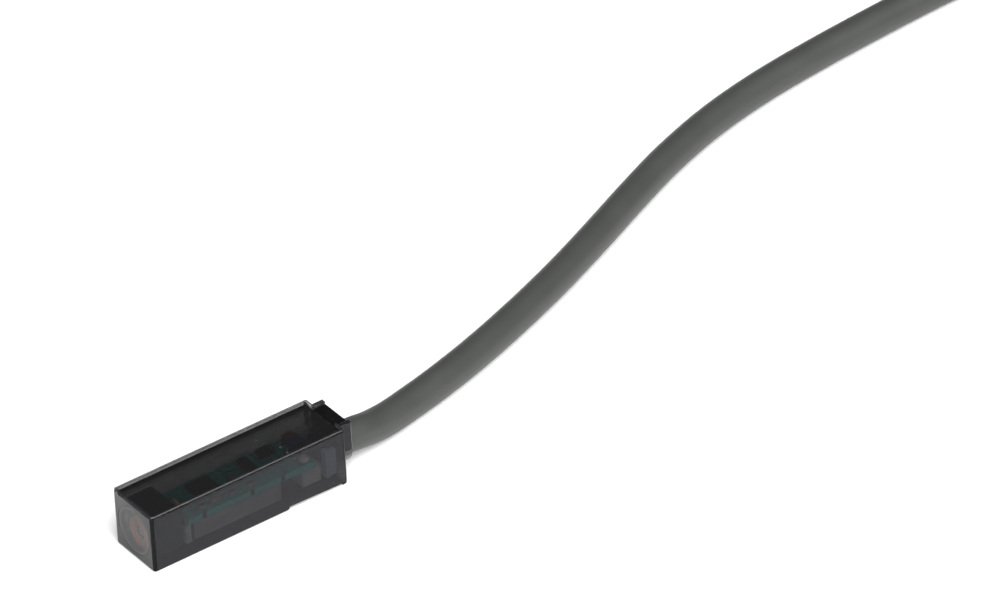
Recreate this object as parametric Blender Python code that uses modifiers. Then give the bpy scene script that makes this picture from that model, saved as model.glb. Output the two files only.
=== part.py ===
"""A miniature photoelectric sensor with a moulded-in cable.

A smoked tray closed by an inset lid holds the optics, the circuit board and the end of the cable.
The cable leaves through a collar at the back, curves away over the bench and ends in a tied hank.

Frame: +Z up, the lens looks along -Y, the cable leaves along +Y, and the sensor stands on z = 0.
The origin is under the middle of the sensor. Sizes are in millimetres until MM makes them metres.
"""

import math

import bmesh
import bpy
from mathutils import Matrix, Vector

MM = 0.001

# Driving sizes of the housing.
BODY_LENGTH = 35.0
BODY_WIDTH = 10.0
BODY_HEIGHT = 10.0
WALL = 1.0
FRONT_WALL = 0.8
FLOOR = 1.5
RIM = 0.5
EDGE_RADIUS = 0.5
FOOT_RADIUS = 0.4
TOP_RADIUS = 0.15

# Lid, inset below the rim.
LID_THICKNESS = 0.8
LID_DROP = 0.5
GATE_DIAMETER = 4.4
GATE_DEPTH = 0.12
GATE_SHIFT = (0.1, -0.5)

# Collar round the cable, at the back.
COLLAR_LENGTH = 2.0
COLLAR_WALL = 0.8
COLLAR_DROP = 0.3
COLLAR_SHIFT = 0.4
TONGUE_ROOT = 0.3

# Clip recess under the rear half.
RECESS_DEPTH = 0.6
RECESS_SLOPE = 0.55
RECESS_LENGTH = 10.2
HEEL = 0.9

# Lens and optics.
LENS_RADIUS = 3.95
LENS_RIM = 0.45
LENS_LIP = 0.55
LENS_SINK = 0.02
RING_RADIUS = 2.6
RING_BORE = 1.15
RING_THICKNESS = 0.45
OPTIC_HEIGHT = 4.2
EMITTER_RADIUS = 0.95
EMITTER_LENGTH = 3.2
DOME_HEIGHT = 0.8 * EMITTER_RADIUS
DOME_STEPS = 6
HOLDER_LENGTH = 4.7
HOLDER_GAP = 0.4
LEAD_DIAMETER = 0.35
LEAD_SPREAD = 0.5
LEAD_LENGTH = 2.8

# Circuit board and what it carries.
BOARD_THICKNESS = 1.0
BOARD_HEIGHT = 4.8
SHIELD_PLATE = 0.4
SHIELD_FOOT = 0.8
SHIELD_RISE = 0.3
CAN_LENGTH = 15.7
CAN_START = 1.0
FILM_LENGTH = 3.5
FILM_WIDTH = 4.6
FILM_FROM_REAR = 2.4
SOFT_EDGE = 0.2
BEAD_RADIUS = 0.85
BEAD_FROM_REAR = 1.4
BEAD_SQUASH = 0.7
EDGE_ROW = 1.3
DIODE_FROM_REAR = 4.8
LED_SIZE = (1.6, 0.8, 0.9)
LED_ROUNDING = 0.12
CONTROL_CHIP_SIZE = (4.0, 4.0, 0.9)
DRIVER_CHIP_SIZE = (2.9, 1.6, 1.0)
DIODE_SIZE = (1.7, 2.8, 1.0)
RESISTOR_SIZE = (0.8, 1.6, 0.45)
CAPACITOR_LONG = (1.0, 1.8, 0.9)
CAPACITOR_WIDE = (1.8, 1.0, 0.9)

# Cable, its cores and the clamp that holds it.
CABLE_DIAMETER = 5.2
CABLE_HEIGHT = 4.5
CABLE_GRIP = 1.7
CORE_DIAMETER = 1.6
CORE_PITCH = 1.8
CLAMP_THICKNESS = 0.9
CLAMP_TOP = 6.4
CLAMP_ROUNDING = 0.1
CORE_ROOM = 1.95
CORE_REACH = 0.9
CORE_RISE = 1.3
CORE_SHIFT = -0.7
CORE_STEP = 0.6
SOLDER_RADIUS = 0.6
SOLDER_HEIGHT = 0.7

# Hank of the spare cable, with its ties and stripped end.
# Its loops have straight runs along Y and round ends; HANK_START is the near end's middle.
HANK_START = (-18.6, 198.0)
HANK_RUN = 84.0
HANK_FOLD = 15.8
HANK_COLUMNS = 2
HANK_LAYERS = 3
HANK_ROUNDING = 2.0
TIE_WIDTH = 3.2
TIE_THICKNESS = 0.9
TIE_PLACE = 0.62
TAIL_START = 27.0
TAIL_LENGTH = 74.0
CORE_LENGTH = 34.0
CORE_FAN = 1.6
CORE_STAGGER = 3.0
TIP_DIAMETER = 0.9
TIP_LENGTH = 6.0
STRIPPED_STEP = 2.4
TIP_STEP = 2.0

# Clearances, and how far a cutter reaches past what it cuts.
FIT = 0.1
SEAT = 0.05
LOOSE = 0.3
PAST = 0.5

# Fineness of curves, and how close two corners count as level.
SPLINE_PARTS = 16
ROUND_END_STEPS = 16
CABLE_ROUNDNESS = 4
TOUCHING = 1e-6

# Places that follow from the sizes.
REAR_END = (BODY_LENGTH + COLLAR_LENGTH) / 2
BODY_REAR = REAR_END - COLLAR_LENGTH
BODY_FRONT = BODY_REAR - BODY_LENGTH
BODY_MIDDLE = (BODY_FRONT + BODY_REAR) / 2
HALF_WIDTH = BODY_WIDTH / 2
ROOM_HALF = HALF_WIDTH - WALL
ROOM_FRONT = BODY_FRONT + FRONT_WALL
ROOM_REAR = BODY_REAR - WALL
PIECE_HALF = ROOM_HALF - FIT
LID_TOP = BODY_HEIGHT - LID_DROP
LID_UNDER = LID_TOP - LID_THICKNESS
LEDGE = LID_UNDER - FIT
LENS_HEIGHT = BODY_HEIGHT / 2
CABLE_RADIUS = CABLE_DIAMETER / 2
BORE_RADIUS = CABLE_RADIUS + LOOSE
COLLAR_HALF = BORE_RADIUS + COLLAR_WALL
COLLAR_TOP = BODY_HEIGHT - COLLAR_DROP
COLLAR_HEIGHT = CABLE_HEIGHT + COLLAR_SHIFT
BOARD_TOP = BOARD_HEIGHT + BOARD_THICKNESS
RING_FRONT = ROOM_FRONT + FIT
HOLDER_FRONT = RING_FRONT + RING_THICKNESS + FIT
HOLDER_REAR = HOLDER_FRONT + HOLDER_LENGTH
SHIELD_FRONT = HOLDER_REAR + HOLDER_GAP
BOARD_FRONT = SHIELD_FRONT + SHIELD_PLATE + FIT
CABLE_END = ROOM_REAR - CABLE_GRIP / 2
CLAMP_REAR = CABLE_END - LOOSE
CLAMP_FRONT = CLAMP_REAR - CLAMP_THICKNESS
BOARD_REAR = CLAMP_FRONT - CORE_ROOM
CABLE_PITCH = CABLE_DIAMETER + SEAT
HANK_LAST = HANK_FOLD + (HANK_COLUMNS - 1) * CABLE_PITCH
HANK_MIDDLE = (HANK_FOLD + HANK_LAST) / 2
HANK_INSIDE = HANK_FOLD - CABLE_RADIUS - FIT
HANK_OUTSIDE = HANK_LAST + CABLE_RADIUS + FIT
HANK_TOP = HANK_LAYERS * CABLE_PITCH + FIT

# The cable's route from its end in the housing to the hank, chosen by hand.
# It ends beside the hank's outer left run, just short of the hank's round end.
LIFT = 0.02
LYING = CABLE_RADIUS + LIFT
ENTRY_X = HANK_START[0] - HANK_LAST
ENTRY_Y = HANK_START[1] - math.sqrt(HANK_OUTSIDE**2 - (HANK_LAST - CABLE_RADIUS) ** 2) - 2 * LOOSE
ROUTE = [
    (0.0, CABLE_END, CABLE_HEIGHT),
    (0.0, REAR_END - 1.0, CABLE_HEIGHT),
    (-0.1, REAR_END + 3.1, 4.1),
    (-0.6, REAR_END + 6.1, 3.4),
    (-1.4, REAR_END + 9.7, 2.85),
    (-2.4, REAR_END + 13.7, LYING),
    (-4.0, REAR_END + 20.5, LYING),
    (-6.6, 48.0, LYING),
    (-10.0, 57.8, LYING),
    (-14.4, 69.0, LYING),
    (-19.4, 80.2, LYING),
    (-24.6, 91.2, LYING),
    (-29.2, 101.6, LYING),
    (-33.2, 113.3, LYING),
    (-35.8, 125.0, LYING),
    (-37.4, 137.0, LYING),
    (-38.6, 150.0, LYING),
    (-39.4, 162.0, LYING),
    (ENTRY_X, 172.0, LYING),
    (ENTRY_X, ENTRY_Y, LYING),
]
ROUTE_STEP = CABLE_DIAMETER

# Places of the small parts on the board: across it, and along it from its front edge.
ROW_X = PIECE_HALF - EDGE_ROW
LED_PLACE = (-0.35, 0.75)
CONTROL_CHIP_PLACE = (-0.6, 6.0)
DRIVER_CHIP_PLACE = (-1.4, 14.2)
DIODE_PLACE = (-2.2, BOARD_REAR - BOARD_FRONT - DIODE_FROM_REAR)
RESISTOR_PLACES = [(ROW_X, 3.4), (ROW_X, 8.8), (ROW_X, 12.2)]
CAPACITOR_1_PLACE = (ROW_X, 5.9)
CAPACITOR_2_PLACE = (0.6, 10.6)

# Colour, roughness and metallic value of each material.
LOOKS = {
    "smoked_plastic": ((0.035, 0.037, 0.038), 0.12, 0.0),
    "lens_plastic": ((0.05, 0.05, 0.052), 0.06, 0.0),
    "ring_plastic": ((0.23, 0.09, 0.05), 0.35, 0.0),
    "clear_epoxy": ((0.5, 0.46, 0.4), 0.15, 0.0),
    "holder_plastic": ((0.13, 0.15, 0.14), 0.5, 0.0),
    "tinned_steel": ((0.62, 0.61, 0.58), 0.3, 1.0),
    "board_green": ((0.05, 0.27, 0.18), 0.4, 0.0),
    "chip_black": ((0.02, 0.02, 0.022), 0.45, 0.0),
    "film_grey": ((0.45, 0.46, 0.48), 0.45, 0.0),
    "ceramic": ((0.55, 0.45, 0.33), 0.5, 0.0),
    "white_epoxy": ((0.75, 0.74, 0.7), 0.4, 0.0),
    "clamp_blue": ((0.3, 0.36, 0.45), 0.4, 0.0),
    "solder": ((0.6, 0.6, 0.6), 0.25, 1.0),
    "cable_grey": ((0.105, 0.115, 0.105), 0.45, 0.0),
    "tie_black": ((0.02, 0.02, 0.02), 0.5, 0.0),
    "core_brown": ((0.14, 0.05, 0.02), 0.4, 0.0),
    "core_blue": ((0.03, 0.12, 0.42), 0.4, 0.0),
    "core_black": ((0.015, 0.015, 0.015), 0.4, 0.0),
    "amber_resin": ((0.8, 0.4, 0.08), 0.2, 0.0),
}


def clear_scene():
    for thing in list(bpy.data.objects):
        bpy.data.objects.remove(thing, do_unlink=True)


def new_collection(name):
    collection = bpy.data.collections.new(name)
    bpy.context.scene.collection.children.link(collection)
    return collection


def new_material(name):
    colour, roughness, metallic = LOOKS[name]
    material = bpy.data.materials.new(name)
    material.use_nodes = True
    shader = material.node_tree.nodes["Principled BSDF"]
    shader.inputs["Base Color"].default_value = (*colour, 1.0)
    shader.inputs["Roughness"].default_value = roughness
    shader.inputs["Metallic"].default_value = metallic
    return material


clear_scene()
PARTS = new_collection("photoelectric_sensor")
CUTTERS = new_collection("cutters")
MATERIALS = {name: new_material(name) for name in LOOKS}


def add_object(name, mesh, material=None):
    """A part with its material, or a cutter if no material is named."""
    thing = bpy.data.objects.new(name, mesh)
    if material is None:
        thing.hide_render = True
        thing.display_type = "WIRE"
        CUTTERS.objects.link(thing)
    else:
        mesh.materials.append(MATERIALS[material])
        PARTS.objects.link(thing)
    return thing


def mesh_from(name, solid, smooth=False):
    """A mesh from a bmesh in millimetres."""
    bmesh.ops.scale(solid, vec=(MM, MM, MM), verts=solid.verts)
    bmesh.ops.recalc_face_normals(solid, faces=solid.faces)
    mesh = bpy.data.meshes.new(name)
    solid.to_mesh(mesh)
    solid.free()
    if smooth:
        mesh.shade_smooth()
        mesh.set_sharp_from_angle(angle=math.radians(35))
    return mesh


def box_solid(low, high):
    solid = bmesh.new()
    low = Vector(low)
    high = Vector(high)
    place = Matrix.Translation((low + high) / 2) @ Matrix.Diagonal((*(high - low), 1.0))
    bmesh.ops.create_cube(solid, size=1.0, matrix=place)
    return solid


def round_edges(solid, edges, radius, segments=3):
    bmesh.ops.bevel(
        solid,
        geom=edges,
        offset=radius,
        segments=segments,
        profile=0.5,
        affect="EDGES",
    )


def is_upright(edge):
    one, two = (vert.co for vert in edge.verts)
    return abs(one.z - two.z) > TOUCHING


def level_edges(solid, height):
    return [e for e in solid.edges if all(abs(v.co.z - height) < TOUCHING for v in e.verts)]


def block(name, low, high, material=None, rounding=0.0):
    """A box between two corners, with its edges rounded."""
    solid = box_solid(low, high)
    if rounding > 0:
        round_edges(solid, list(solid.edges), rounding, 2)
    return add_object(name, mesh_from(name, solid, rounding > 0), material)


def cylinder(name, radius, start, end, material=None, sides=40, end_radius=None):
    """A round bar or cone from one point to another."""
    start = Vector(start)
    end = Vector(end)
    along = end - start
    place = Matrix.Translation((start + end) / 2)
    place = place @ along.to_track_quat("Z", "Y").to_matrix().to_4x4()
    solid = bmesh.new()
    bmesh.ops.create_cone(
        solid,
        cap_ends=True,
        segments=sides,
        radius1=radius,
        radius2=radius if end_radius is None else end_radius,
        depth=along.length,
        matrix=place,
    )
    return add_object(name, mesh_from(name, solid, True), material)


def combine(target, tool, operation="DIFFERENCE"):
    """Cut or join a part with a cutter."""
    change = target.modifiers.new(f"{operation.lower()} {tool.name}", "BOOLEAN")
    change.operation = operation
    change.solver = "EXACT"
    change.object = tool


def turned(name, profile, centre, material, sides=40, axis_turn=(0, 0, 0)):
    """A solid turned from a closed profile of (radius, height) pairs about its own Z."""
    solid = bmesh.new()
    corners = [solid.verts.new((r * MM, 0.0, z * MM)) for r, z in profile]
    for one, two in zip(corners, corners[1:] + corners[:1]):
        if max(one.co.x, two.co.x) > 1e-9:
            solid.edges.new((one, two))
    mesh = bpy.data.meshes.new(name)
    solid.to_mesh(mesh)
    solid.free()
    thing = add_object(name, mesh, material)
    thing.location = Vector(centre) * MM
    thing.rotation_euler = [math.radians(angle) for angle in axis_turn]
    screw = thing.modifiers.new("turn", "SCREW")
    screw.axis = "Z"
    screw.steps = sides
    screw.render_steps = sides
    screw.use_merge_vertices = True
    screw.merge_threshold = 0.000001
    screw.use_smooth_shade = False
    return thing


def tube(name, points, diameter, material, resolution=2):
    """A round cable or wire through the points."""
    curve = bpy.data.curves.new(name, "CURVE")
    curve.dimensions = "3D"
    curve.bevel_depth = diameter / 2 * MM
    curve.bevel_resolution = resolution
    curve.use_fill_caps = True
    curve.materials.append(MATERIALS[material])
    line = curve.splines.new("POLY")
    line.points.add(len(points) - 1)
    for target, point in zip(line.points, points):
        target.co = (*(Vector(point) * MM), 1.0)
    thing = bpy.data.objects.new(name, curve)
    PARTS.objects.link(thing)
    return thing


def smooth_route(points, step):
    """Points at even steps on a smooth curve through the route's own points."""
    route = [Vector(point) for point in points]
    slopes = []
    for index in range(len(route)):
        before = route[max(index - 1, 0)]
        after = route[min(index + 1, len(route) - 1)]
        slopes.append((after - before).normalized())
    fine = []
    for one, two, lead, trail in zip(route, route[1:], slopes, slopes[1:]):
        span = (two - one).length
        for part in range(SPLINE_PARTS):
            t = part / SPLINE_PARTS
            fine.append(
                one * (2 * t**3 - 3 * t**2 + 1)
                + lead * (span * (t**3 - 2 * t**2 + t))
                + two * (3 * t**2 - 2 * t**3)
                + trail * (span * (t**3 - t**2))
            )
    fine.append(route[-1])
    reach = [0.0]
    for one, two in zip(fine, fine[1:]):
        reach.append(reach[-1] + (two - one).length)
    count = max(2, round(reach[-1] / step))
    even = []
    place = 0
    for number in range(count + 1):
        wanted = reach[-1] * number / count
        while place < len(fine) - 2 and reach[place + 1] < wanted:
            place += 1
        share = (wanted - reach[place]) / (reach[place + 1] - reach[place])
        even.append(fine[place].lerp(fine[place + 1], share))
    return even


def loop_points(radius, height, start, length, step, end_radius=None):
    """Points along one of the hank's loops, from its left run's near end and round clockwise."""
    end_radius = radius if end_radius is None else end_radius
    count = max(2, round(length / step))
    points = []
    for number in range(count + 1):
        share = number / count
        reach = radius + (end_radius - radius) * share
        along = start + length * share
        turn = math.pi * HANK_MIDDLE
        if along <= HANK_RUN:
            x, y = -reach, along
        elif along <= HANK_RUN + turn:
            angle = (along - HANK_RUN) / HANK_MIDDLE
            x, y = -reach * math.cos(angle), HANK_RUN + reach * math.sin(angle)
        else:
            x, y = reach, HANK_RUN - (along - HANK_RUN - turn)
        points.append((HANK_START[0] + x, HANK_START[1] + y, height))
    return points


def make_housing():
    """The smoked tray: open top, stepped rim, lens seat, clip recess and cable collar."""
    solid = box_solid((-HALF_WIDTH, BODY_FRONT, 0), (HALF_WIDTH, BODY_REAR, BODY_HEIGHT))
    round_edges(solid, [edge for edge in solid.edges if is_upright(edge)], EDGE_RADIUS)
    round_edges(solid, level_edges(solid, 0.0), FOOT_RADIUS)
    round_edges(solid, level_edges(solid, BODY_HEIGHT), TOP_RADIUS, 2)
    housing = add_object("housing", mesh_from("housing", solid, True), "smoked_plastic")

    root = BODY_REAR - WALL / 2
    collar = cylinder(
        "collar_round",
        COLLAR_HALF,
        (0, root, COLLAR_HEIGHT),
        (0, REAR_END, COLLAR_HEIGHT),
    )
    combine(housing, collar, "UNION")
    cheeks = block(
        "collar_cheeks",
        (-COLLAR_HALF, root, COLLAR_HEIGHT),
        (COLLAR_HALF, REAR_END, COLLAR_TOP),
    )
    combine(housing, cheeks, "UNION")

    above = BODY_HEIGHT + PAST
    room = block(
        "room",
        (-ROOM_HALF, ROOM_FRONT, FLOOR),
        (ROOM_HALF, ROOM_REAR, above),
    )
    combine(housing, room)
    lid_seat = block(
        "lid_seat",
        (-HALF_WIDTH + RIM, BODY_FRONT + RIM, LEDGE),
        (HALF_WIDTH - RIM, BODY_REAR - RIM, above),
    )
    combine(housing, lid_seat)

    cable_bore = cylinder(
        "cable_bore",
        BORE_RADIUS,
        (0, CLAMP_REAR, CABLE_HEIGHT),
        (0, REAR_END + PAST, CABLE_HEIGHT),
    )
    combine(housing, cable_bore)
    cable_slot = block(
        "cable_slot",
        (-BORE_RADIUS, ROOM_REAR - PAST, CABLE_HEIGHT),
        (BORE_RADIUS, REAR_END + PAST, above),
    )
    combine(housing, cable_slot)

    lens_hole = cylinder(
        "lens_hole",
        LENS_RADIUS - LENS_LIP + FIT,
        (0, BODY_FRONT - PAST, LENS_HEIGHT),
        (0, ROOM_FRONT + PAST, LENS_HEIGHT),
    )
    combine(housing, lens_hole)
    lens_seat = cylinder(
        "lens_seat",
        LENS_RADIUS + SEAT,
        (0, BODY_FRONT - PAST, LENS_HEIGHT),
        (0, BODY_FRONT + LENS_RIM, LENS_HEIGHT),
        sides=56,
    )
    combine(housing, lens_seat)

    recess_rear = BODY_REAR - HEEL
    recess_front = recess_rear - RECESS_LENGTH
    solid = box_solid(
        (-HALF_WIDTH - PAST, recess_front, -RECESS_DEPTH),
        (HALF_WIDTH + PAST, recess_rear, RECESS_DEPTH),
    )
    for vert in solid.verts:
        if vert.co.y < (recess_front + recess_rear) / 2:
            vert.co.y += RECESS_SLOPE if vert.co.z > 0 else -RECESS_SLOPE
    recess = add_object("clip_recess", mesh_from("clip_recess", solid))
    combine(housing, recess)
    return housing


def make_lid():
    """The inset cover: a plate, a tongue between the collar's cheeks and a round gate mark."""
    lid = block(
        "lid",
        (-HALF_WIDTH + RIM + SEAT, BODY_FRONT + RIM + SEAT, LID_UNDER),
        (HALF_WIDTH - RIM - SEAT, BODY_REAR - RIM - SEAT, LID_TOP),
        "smoked_plastic",
    )
    tongue = block(
        "tongue",
        (-BORE_RADIUS + FIT, BODY_REAR - RIM - TONGUE_ROOT, CABLE_HEIGHT + BORE_RADIUS + FIT),
        (BORE_RADIUS - FIT, REAR_END - FIT, LID_TOP - FIT),
    )
    combine(lid, tongue, "UNION")
    x = GATE_SHIFT[0]
    y = BODY_MIDDLE + GATE_SHIFT[1]
    gate = cylinder("gate", GATE_DIAMETER / 2, (x, y, LID_TOP - GATE_DEPTH), (x, y, LID_TOP + PAST))
    combine(lid, gate)
    return lid


def make_lens():
    """A flat round window with a thin flange, set flush in the front wall."""
    neck = LENS_RADIUS - LENS_LIP
    back = FRONT_WALL - FIT / 2
    profile = [
        (0.0, 0.0),
        (LENS_RADIUS, 0.0),
        (LENS_RADIUS, -(LENS_RIM - SEAT)),
        (neck, -(LENS_RIM - SEAT)),
        (neck, -back),
        (0.0, -back),
    ]
    centre = (0, BODY_FRONT + LENS_SINK, LENS_HEIGHT)
    return turned("front_lens", profile, centre, "lens_plastic", 56, (90, 0, 0))


def make_optics():
    """Behind the lens: the aperture ring, the emitter with its leads, its holder and a shield."""
    z = OPTIC_HEIGHT
    ring = cylinder(
        "aperture_ring",
        RING_RADIUS,
        (0, RING_FRONT, z),
        (0, RING_FRONT + RING_THICKNESS, z),
        "ring_plastic",
        48,
    )
    bore = cylinder(
        "ring_bore",
        RING_BORE,
        (0, RING_FRONT - PAST, z),
        (0, RING_FRONT + RING_THICKNESS + PAST, z),
    )
    combine(ring, bore)

    profile = [(0.0, DOME_HEIGHT)]
    for number in range(1, DOME_STEPS + 1):
        angle = math.pi / 2 * number / DOME_STEPS
        profile.append((EMITTER_RADIUS * math.sin(angle), DOME_HEIGHT * math.cos(angle)))
    profile += [(EMITTER_RADIUS, -EMITTER_LENGTH), (0.0, -EMITTER_LENGTH)]
    middle = (0, RING_FRONT + FIT + DOME_HEIGHT, z)
    turned("emitter", profile, middle, "clear_epoxy", 28, (90, 0, 0))

    holder = block(
        "optics_holder",
        (-PIECE_HALF, HOLDER_FRONT, FLOOR + FIT),
        (PIECE_HALF, HOLDER_REAR, LEDGE - HOLDER_GAP),
        "holder_plastic",
        SOFT_EDGE,
    )
    tunnel = cylinder(
        "holder_bore",
        RING_BORE,
        (0, HOLDER_FRONT - PAST, z),
        (0, HOLDER_REAR + PAST, z),
    )
    combine(holder, tunnel)

    plate = block(
        "optics_shield",
        (-PIECE_HALF, SHIELD_FRONT, FLOOR + FIT),
        (PIECE_HALF, SHIELD_FRONT + SHIELD_PLATE, BOARD_TOP + SHIELD_RISE),
        "tinned_steel",
    )
    foot = block(
        "shield_foot",
        (-PIECE_HALF, SHIELD_FRONT + SHIELD_PLATE / 2, FLOOR + FIT),
        (PIECE_HALF, SHIELD_FRONT + SHIELD_PLATE + SHIELD_FOOT, FLOOR + FIT + SHIELD_PLATE),
    )
    combine(plate, foot, "UNION")
    pass_hole = cylinder(
        "shield_hole",
        RING_BORE,
        (0, SHIELD_FRONT - PAST, z),
        (0, SHIELD_FRONT + SHIELD_PLATE + PAST, z),
        sides=24,
    )
    combine(plate, pass_hole)

    start = RING_FRONT + FIT + DOME_HEIGHT + EMITTER_LENGTH + FIT
    for side, label in ((-1, "left"), (1, "right")):
        x = side * LEAD_SPREAD
        points = [(x, start, z), (x, start + LEAD_LENGTH, z)]
        tube(f"emitter_lead_{label}", points, LEAD_DIAMETER, "tinned_steel")


def on_board(name, place, size, material, rounding=0.05, under=False):
    """A component on the board's upper or lower face, from its place on it and its size."""
    x = place[0]
    y = BOARD_FRONT + place[1]
    wide, long, high = size
    low = BOARD_HEIGHT - FIT - high if under else BOARD_TOP + FIT
    return block(
        name,
        (x - wide / 2, y - long / 2, low),
        (x + wide / 2, y + long / 2, low + high),
        material,
        rounding,
    )


def make_board():
    """The board, from the shield to the cable cores, with its parts on both faces."""
    block(
        "circuit_board",
        (-PIECE_HALF, BOARD_FRONT, BOARD_HEIGHT),
        (PIECE_HALF, BOARD_REAR, BOARD_TOP),
        "board_green",
    )
    on_board("indicator_led", LED_PLACE, LED_SIZE, "amber_resin", LED_ROUNDING)
    on_board("control_chip", CONTROL_CHIP_PLACE, CONTROL_CHIP_SIZE, "chip_black")
    on_board("driver_chip", DRIVER_CHIP_PLACE, DRIVER_CHIP_SIZE, "chip_black")
    on_board("surge_diode", DIODE_PLACE, DIODE_SIZE, "chip_black")
    for number, place in enumerate(RESISTOR_PLACES, 1):
        on_board(f"resistor_{number}", place, RESISTOR_SIZE, "chip_black")
    on_board("capacitor_1", CAPACITOR_1_PLACE, CAPACITOR_LONG, "ceramic")
    on_board("capacitor_2", CAPACITOR_2_PLACE, CAPACITOR_WIDE, "ceramic")

    on_board(
        "shield_can",
        (0.0, CAN_START + CAN_LENGTH / 2),
        (2 * PIECE_HALF, CAN_LENGTH, BOARD_HEIGHT - FLOOR - 3 * FIT),
        "tinned_steel",
        SOFT_EDGE,
        under=True,
    )
    film_start = BOARD_REAR - BOARD_FRONT - FILM_FROM_REAR
    on_board(
        "film_capacitor",
        (PIECE_HALF - FILM_WIDTH / 2, film_start + FILM_LENGTH / 2),
        (FILM_WIDTH, FILM_LENGTH, BOARD_HEIGHT - FLOOR - 5 * FIT),
        "film_grey",
        SOFT_EDGE,
        under=True,
    )

    solid = bmesh.new()
    low = BOARD_TOP + FIT + BEAD_RADIUS * BEAD_SQUASH
    place = Matrix.Translation((PIECE_HALF - BEAD_RADIUS, BOARD_REAR - BEAD_FROM_REAR, low))
    place = place @ Matrix.Diagonal((1.0, 1.0, BEAD_SQUASH, 1.0))
    bmesh.ops.create_uvsphere(
        solid, u_segments=20, v_segments=12, radius=BEAD_RADIUS, matrix=place
    )
    add_object("bead_capacitor", mesh_from("bead_capacitor", solid, True), "white_epoxy")


def make_cable_entry():
    """The clamp behind the cable's end and the three cores that run up to the board."""
    clamp = block(
        "cable_clamp",
        (-PIECE_HALF, CLAMP_FRONT, FLOOR + FIT),
        (PIECE_HALF, CLAMP_REAR, CLAMP_TOP),
        "clamp_blue",
        CLAMP_ROUNDING,
    )
    half = CORE_PITCH + CORE_DIAMETER / 2 + FIT
    notch = block(
        "clamp_notch",
        (-half, CLAMP_FRONT - PAST, CABLE_HEIGHT - CORE_DIAMETER / 2 - FIT),
        (half, CLAMP_REAR + PAST, CLAMP_TOP + PAST),
    )
    combine(clamp, notch)

    above_board = BOARD_TOP + FIT + CORE_DIAMETER / 2
    over = BOARD_REAR - 2 * FIT
    for place, colour in ((-1, "brown"), (0, "blue"), (1, "black")):
        x = place * CORE_PITCH + CORE_SHIFT
        spread = place * CORE_PITCH
        points = [
            (spread, CABLE_END - LOOSE, CABLE_HEIGHT),
            (spread, CLAMP_FRONT + 2 * FIT, CABLE_HEIGHT + SEAT),
            ((x + spread) / 2, CLAMP_FRONT - CORE_REACH, CABLE_HEIGHT + CORE_RISE),
            (x, over + LOOSE, above_board - SEAT),
            (x, over - CORE_REACH, above_board),
        ]
        tube(f"board_core_{colour}", smooth_route(points, CORE_STEP), CORE_DIAMETER, f"core_{colour}")
        y = over - CORE_REACH - FIT - SOLDER_RADIUS
        cylinder(
            f"solder_joint_{colour}",
            SOLDER_RADIUS,
            (x, y, BOARD_TOP + FIT),
            (x, y, BOARD_TOP + FIT + SOLDER_HEIGHT),
            "solder",
            20,
            SOLDER_RADIUS / 2,
        )


def stadium(curve, radius):
    """Adds a closed outline with straight runs and round ends to a flat curve."""
    corners = []
    for middle, first in ((HANK_RUN, 0), (0.0, 180)):
        for number in range(ROUND_END_STEPS + 1):
            angle = math.radians(first + 180 * number / ROUND_END_STEPS)
            corners.append((radius * math.cos(angle), middle + radius * math.sin(angle)))
    line = curve.splines.new("POLY")
    line.points.add(len(corners) - 1)
    line.use_cyclic_u = True
    for target, (x, y) in zip(line.points, corners):
        target.co = (x * MM, y * MM, 0.0, 1.0)


def make_hank():
    """The outer shape of the wound cable: a flat outline with round ends, as a mesh."""
    curve = bpy.data.curves.new("hank_outline", "CURVE")
    curve.dimensions = "2D"
    curve.fill_mode = "BOTH"
    curve.extrude = (HANK_TOP / 2 - HANK_ROUNDING) * MM
    curve.bevel_depth = HANK_ROUNDING * MM
    curve.bevel_resolution = 1
    stadium(curve, HANK_OUTSIDE - HANK_ROUNDING)
    stadium(curve, HANK_INSIDE + HANK_ROUNDING)
    outline = bpy.data.objects.new("hank_outline", curve)
    outline.location = (*(Vector(HANK_START) * MM), HANK_TOP / 2 * MM)
    CUTTERS.objects.link(outline)
    bpy.context.view_layer.update()
    shape = outline.evaluated_get(bpy.context.evaluated_depsgraph_get())
    mesh = bpy.data.meshes.new_from_object(shape)
    solid = bmesh.new()
    solid.from_mesh(mesh)
    bmesh.ops.remove_doubles(solid, verts=solid.verts, dist=0.000001)
    bmesh.ops.recalc_face_normals(solid, faces=solid.faces)
    solid.to_mesh(mesh)
    solid.free()
    mesh.materials.clear()
    hank = add_object("cable_hank", mesh, "cable_grey")
    hank.matrix_world = outline.matrix_world
    bpy.data.objects.remove(outline, do_unlink=True)
    return hank


def across_run(name, side, grow, width, bottom, top, material=None):
    """A box across one straight run of the hank, at the tie's place."""
    inside = HANK_START[0] + side * (HANK_INSIDE - grow)
    outside = HANK_START[0] + side * (HANK_OUTSIDE + grow)
    y = HANK_START[1] + HANK_RUN * TIE_PLACE
    low = (min(inside, outside), y - width / 2, bottom)
    high = (max(inside, outside), y + width / 2, top)
    return block(name, low, high, material)


def make_tie(name, side, hank, inner_top):
    """A strap round one run of the hank, lying in a groove so that the hank rests flat."""
    groove = across_run(
        f"{name}_groove",
        side,
        LOOSE,
        TIE_WIDTH + 2 * LOOSE,
        -PAST,
        TIE_THICKNESS + LOOSE,
    )
    combine(hank, groove)
    outer = TIE_THICKNESS + LOOSE
    tie = across_run(name, side, outer, TIE_WIDTH, 0.0, inner_top + TIE_THICKNESS, "tie_black")
    space = across_run(
        f"{name}_space",
        side,
        LOOSE,
        TIE_WIDTH + 2 * PAST,
        TIE_THICKNESS,
        inner_top,
    )
    combine(tie, space)


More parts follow.
